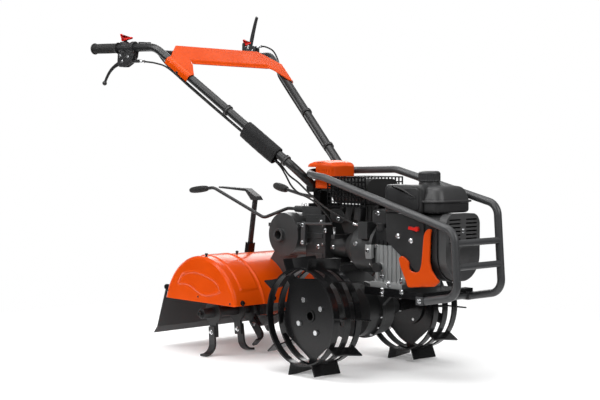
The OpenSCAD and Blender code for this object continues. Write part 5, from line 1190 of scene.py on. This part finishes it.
zincBolt = dress("brightZinc", "zinc", crease=30)
blackBolt = dress("blackPaint", "black_paint", crease=30)
rotorBolt = dress("blackPaint", "black_paint", "rotor", 30)
plasticKnob = dress("engineBlack", "black_paint", crease=30)
consoleBolt = dress("blackPaint", "black_paint", "handlebar", 30)
tineAxis = (-518, 153)
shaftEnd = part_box("tine_shaft")[1].y * 1000
boltRows = {
    "engineBolts": {"head": "hex", "size": 6.0, "look": zincBolt, "spots": facing(
        (0, -1, 0), (159, -79, 321), (239, -75, 316), (127, -75, 418), (180, -101, 281), (263, -101, 281),
        (178, -101, 267), (140, -80, 526), (-126, -62, 457), (-146, -62, 486), (-206, -94, 474),
        (-207, -94, 414), (-60, -64, 500), (356, -122, 262), (-160, -62, 400), (-76, -73, 404),
        (111, -98, 404)) + facing((0, -.97, .23), (38, -80.1, 421.4)) + facing((1, 0, 0), (430, 0, 480))
        + facing((0, 1, 0), (356, 122, 262))},
    "leftBolts": {"head": "hex", "size": 5.4, "look": zincBolt, "spots": facing(
        (0, 1, 0), (-189, 67, 354), (-138, 67, 353), (-87, 67, 354), (-189, 67, 410), (-87, 67, 410),
        (-178, 67, 471), (-132, 67, 472), (-93, 67, 464), (-336, 56, 476), (-298, 56, 490), (-258, 56, 480),
        (-336, 56, 400), (-298, 56, 384), (-258, 56, 396), (180, 101, 275), (262, 101, 275), (340, 101, 272),
        (190, 94, 300), (245, 94, 300), (340, 87, 420))},
    "shaftCaps": {"head": "plug", "size": 12.0, "look": rotorBolt,
                  "spots": [((tineAxis[0], s * shaftEnd, tineAxis[1]), (0, s, 0)) for s in (-1, 1)]},
    "panelScrews": {"head": "dome", "size": 9.5, "look": zincBolt,
                    "spots": facing((0, -1, 0), (297, -93, 446), (242, -93, 458))},
    "drainPlug": {"head": "plug", "size": 9.0, "look": zincBolt,
                  "spots": facing((0, -1, 0), (200, -94, 301))},
    "hoodScrews": {"head": "hex", "size": 7.0, "look": blackBolt, "spots": (
        facing((.97, 0, .23), (-323.5, -265, 205.5), (-323.5, 265, 205.5))
        + facing((.96, 0, .28), (-325, -120, 212), (-325, 120, 212)))},
    "hoodRivets": {"head": "dome", "size": 3.6, "look": blackBolt, "spots": [
        ((x, s * hoodWing["outside"], z), (0, s, 0)) for s in (-1, 1)
        for x, z in ((-706, 222), (-527, 214), (-349, 204))]},
    "hoodKnobs": {"head": "knob", "size": 5.5, "look": plasticKnob, "spots": (
        facing((.1, 0, 1), (-502, -282, 356.6), (-502, 282, 356.6))
        + facing((.08, 0, 1), (-506, -138, 357.3), (-506, 138, 357.3)))},
    "consoleScrews": {"head": "dome", "size": 6.0, "look": consoleBolt,
                      "spots": [((-686.4, s * 268, 1014.7), (.18, s * .97, -.14)) for s in (-1, 1)]},
}


def makeBolts(rows):
    for name, v in rows.items():
        parts = []
        for spot, axis in v["spots"]:
            parts += spun(heads[v["head"]], [spot], axis, v["size"])
        piece(name, parts, v["look"])


makeBolts(boltRows)


# tine bolts: a head on each side of every holder
tineBolts = {
    "axis": tineAxis, "reach": 70, "holder": 5, "blade": 8.05, "size": 6.5,
    "sets": [(-237, 177, -1), (-128, 173, 1), (-76, 137, -1), (76, 227, 1), (128, 263, -1), (237, 267, 1)],
    "look": dress("brightZinc", "zinc", "rotor", 30),
}


def makeTineBolts(v):
    parts = []
    for y, angle, side in v["sets"]:
        for turn in (0, 180):
            a = math.radians(angle + turn)
            x, z = v["axis"][0] + v["reach"] * math.sin(a), v["axis"][1] + v["reach"] * math.cos(a)
            near, far = y - side * v["holder"], y + side * (v["holder"] + v["blade"])
            parts += spun(heads["hex"], [(x, near, z)], (0, -side, 0), v["size"])
            parts += spun(heads["hex"], [(x, far, z)], (0, side, 0), v["size"])
    piece("tineBolts", parts, v["look"])


makeTineBolts(tineBolts)
print("fasteners set")


# studio: a pale floor that thins out to a white backdrop, a dim room and soft boxes
studio = {"floor": 14.0, "glow": 0.16, "fadeFrom": 0.85, "fadeTo": 1.75, "horizon": 0.05, "zenith": 0.4,
          "lamps": (("topBox", (0.3, -0.4, 3.4), (0.2, 0, 0.4), 2.6, 2.6, 56),
                    ("rightBox", (0.6, -3.4, 2.3), (0.1, 0, 0.45), 2.0, 2.0, 46),
                    ("frontBox", (3.6, 0.3, 2.3), (0.2, 0, 0.45), 2.0, 2.0, 58),
                    ("stripBox", (-0.9, -1.8, 2.4), (-0.1, 0, 0.4), 0.4, 2.4, 34),
                    ("backBox", (-2.8, 2.4, 2.6), (0, 0, 0.5), 2.0, 2.0, 60),
                    ("fillBox", (-2.6, -0.2, 0.3), (-0.5, 0, 1.0), 1.6, 1.6, 18))}


def makeStudio(v):
    s = v["floor"]
    data = bpy.data.meshes.new("floor")
    data.from_pydata([(-s, -s, 0), (s, -s, 0), (s, s, 0), (-s, s, 0)], [], [(0, 1, 2, 3)])
    floor = bpy.data.objects.new("floor", data)
    bpy.context.scene.collection.objects.link(floor)
    pale = Finish("paleFloor", {"Roughness": 0.85, "Specular IOR Level": 0.05, "Emission Color": rgb(1, 1, 1),
                                "Emission Strength": v["glow"]})
    speck = pale.noise(3.0, 3.0)
    pale.feed("Base Color", pale.mix(speck, rgb(.94, .94, .94), rgb(.96, .96, .96)))
    far = pale.node("VectorMath", {"operation": "LENGTH"}, {0: pale.place()}, "Value")
    fade = ((far - v["fadeFrom"]) * (1 / (v["fadeTo"] - v["fadeFrom"]))).clip()
    lit = Flow(pale.tree, pale.shader.outputs[0])
    mixed = pale.node("MixShader", None, {0: fade, 1: lit, 2: pale.node("BsdfTransparent")})
    pale.tree.links.new(mixed.socket, pale.tree.nodes["Material Output"].inputs["Surface"])
    data.materials.append(pale.mat)

    # a white backdrop behind the object, and a dim room with a brighter ceiling in its reflections
    world = bpy.data.worlds.new("studio")
    world.use_nodes = True
    sky = Nodes(world.node_tree)
    height = sky.node("SeparateXYZ", None, {0: sky.node("TexCoord", out="Generated")}, "Z").clip()
    seen = sky.node("LightPath", out="Is Camera Ray")
    glow = height * (v["zenith"] - v["horizon"]) + v["horizon"]
    power = seen * (1.0 - glow) + glow
    backdrop = sky.tree.nodes["Background"]
    sky.tree.links.new(power.socket, backdrop.inputs["Strength"])
    backdrop.inputs["Color"].default_value = rgb(1.0, 1.0, 1.0)
    bpy.context.scene.world = world

    for name, spot, aim, wide, high, watts in v["lamps"]:
        lamp = bpy.data.lights.new(name, "AREA")
        lamp.shape = "RECTANGLE"
        lamp.size = wide
        lamp.size_y = high
        lamp.energy = watts
        obj = bpy.data.objects.new(name, lamp)
        obj.location = spot
        to = np.array(aim) - np.array(spot)
        tilt = math.acos(-to[2] / np.linalg.norm(to))
        obj.rotation_euler = (tilt, 0, math.atan2(to[1], to[0]) - math.pi / 2)
        bpy.context.scene.collection.objects.link(obj)


makeStudio(studio)
bpy.context.scene.view_settings.view_transform = "Standard"
print("studio ready")
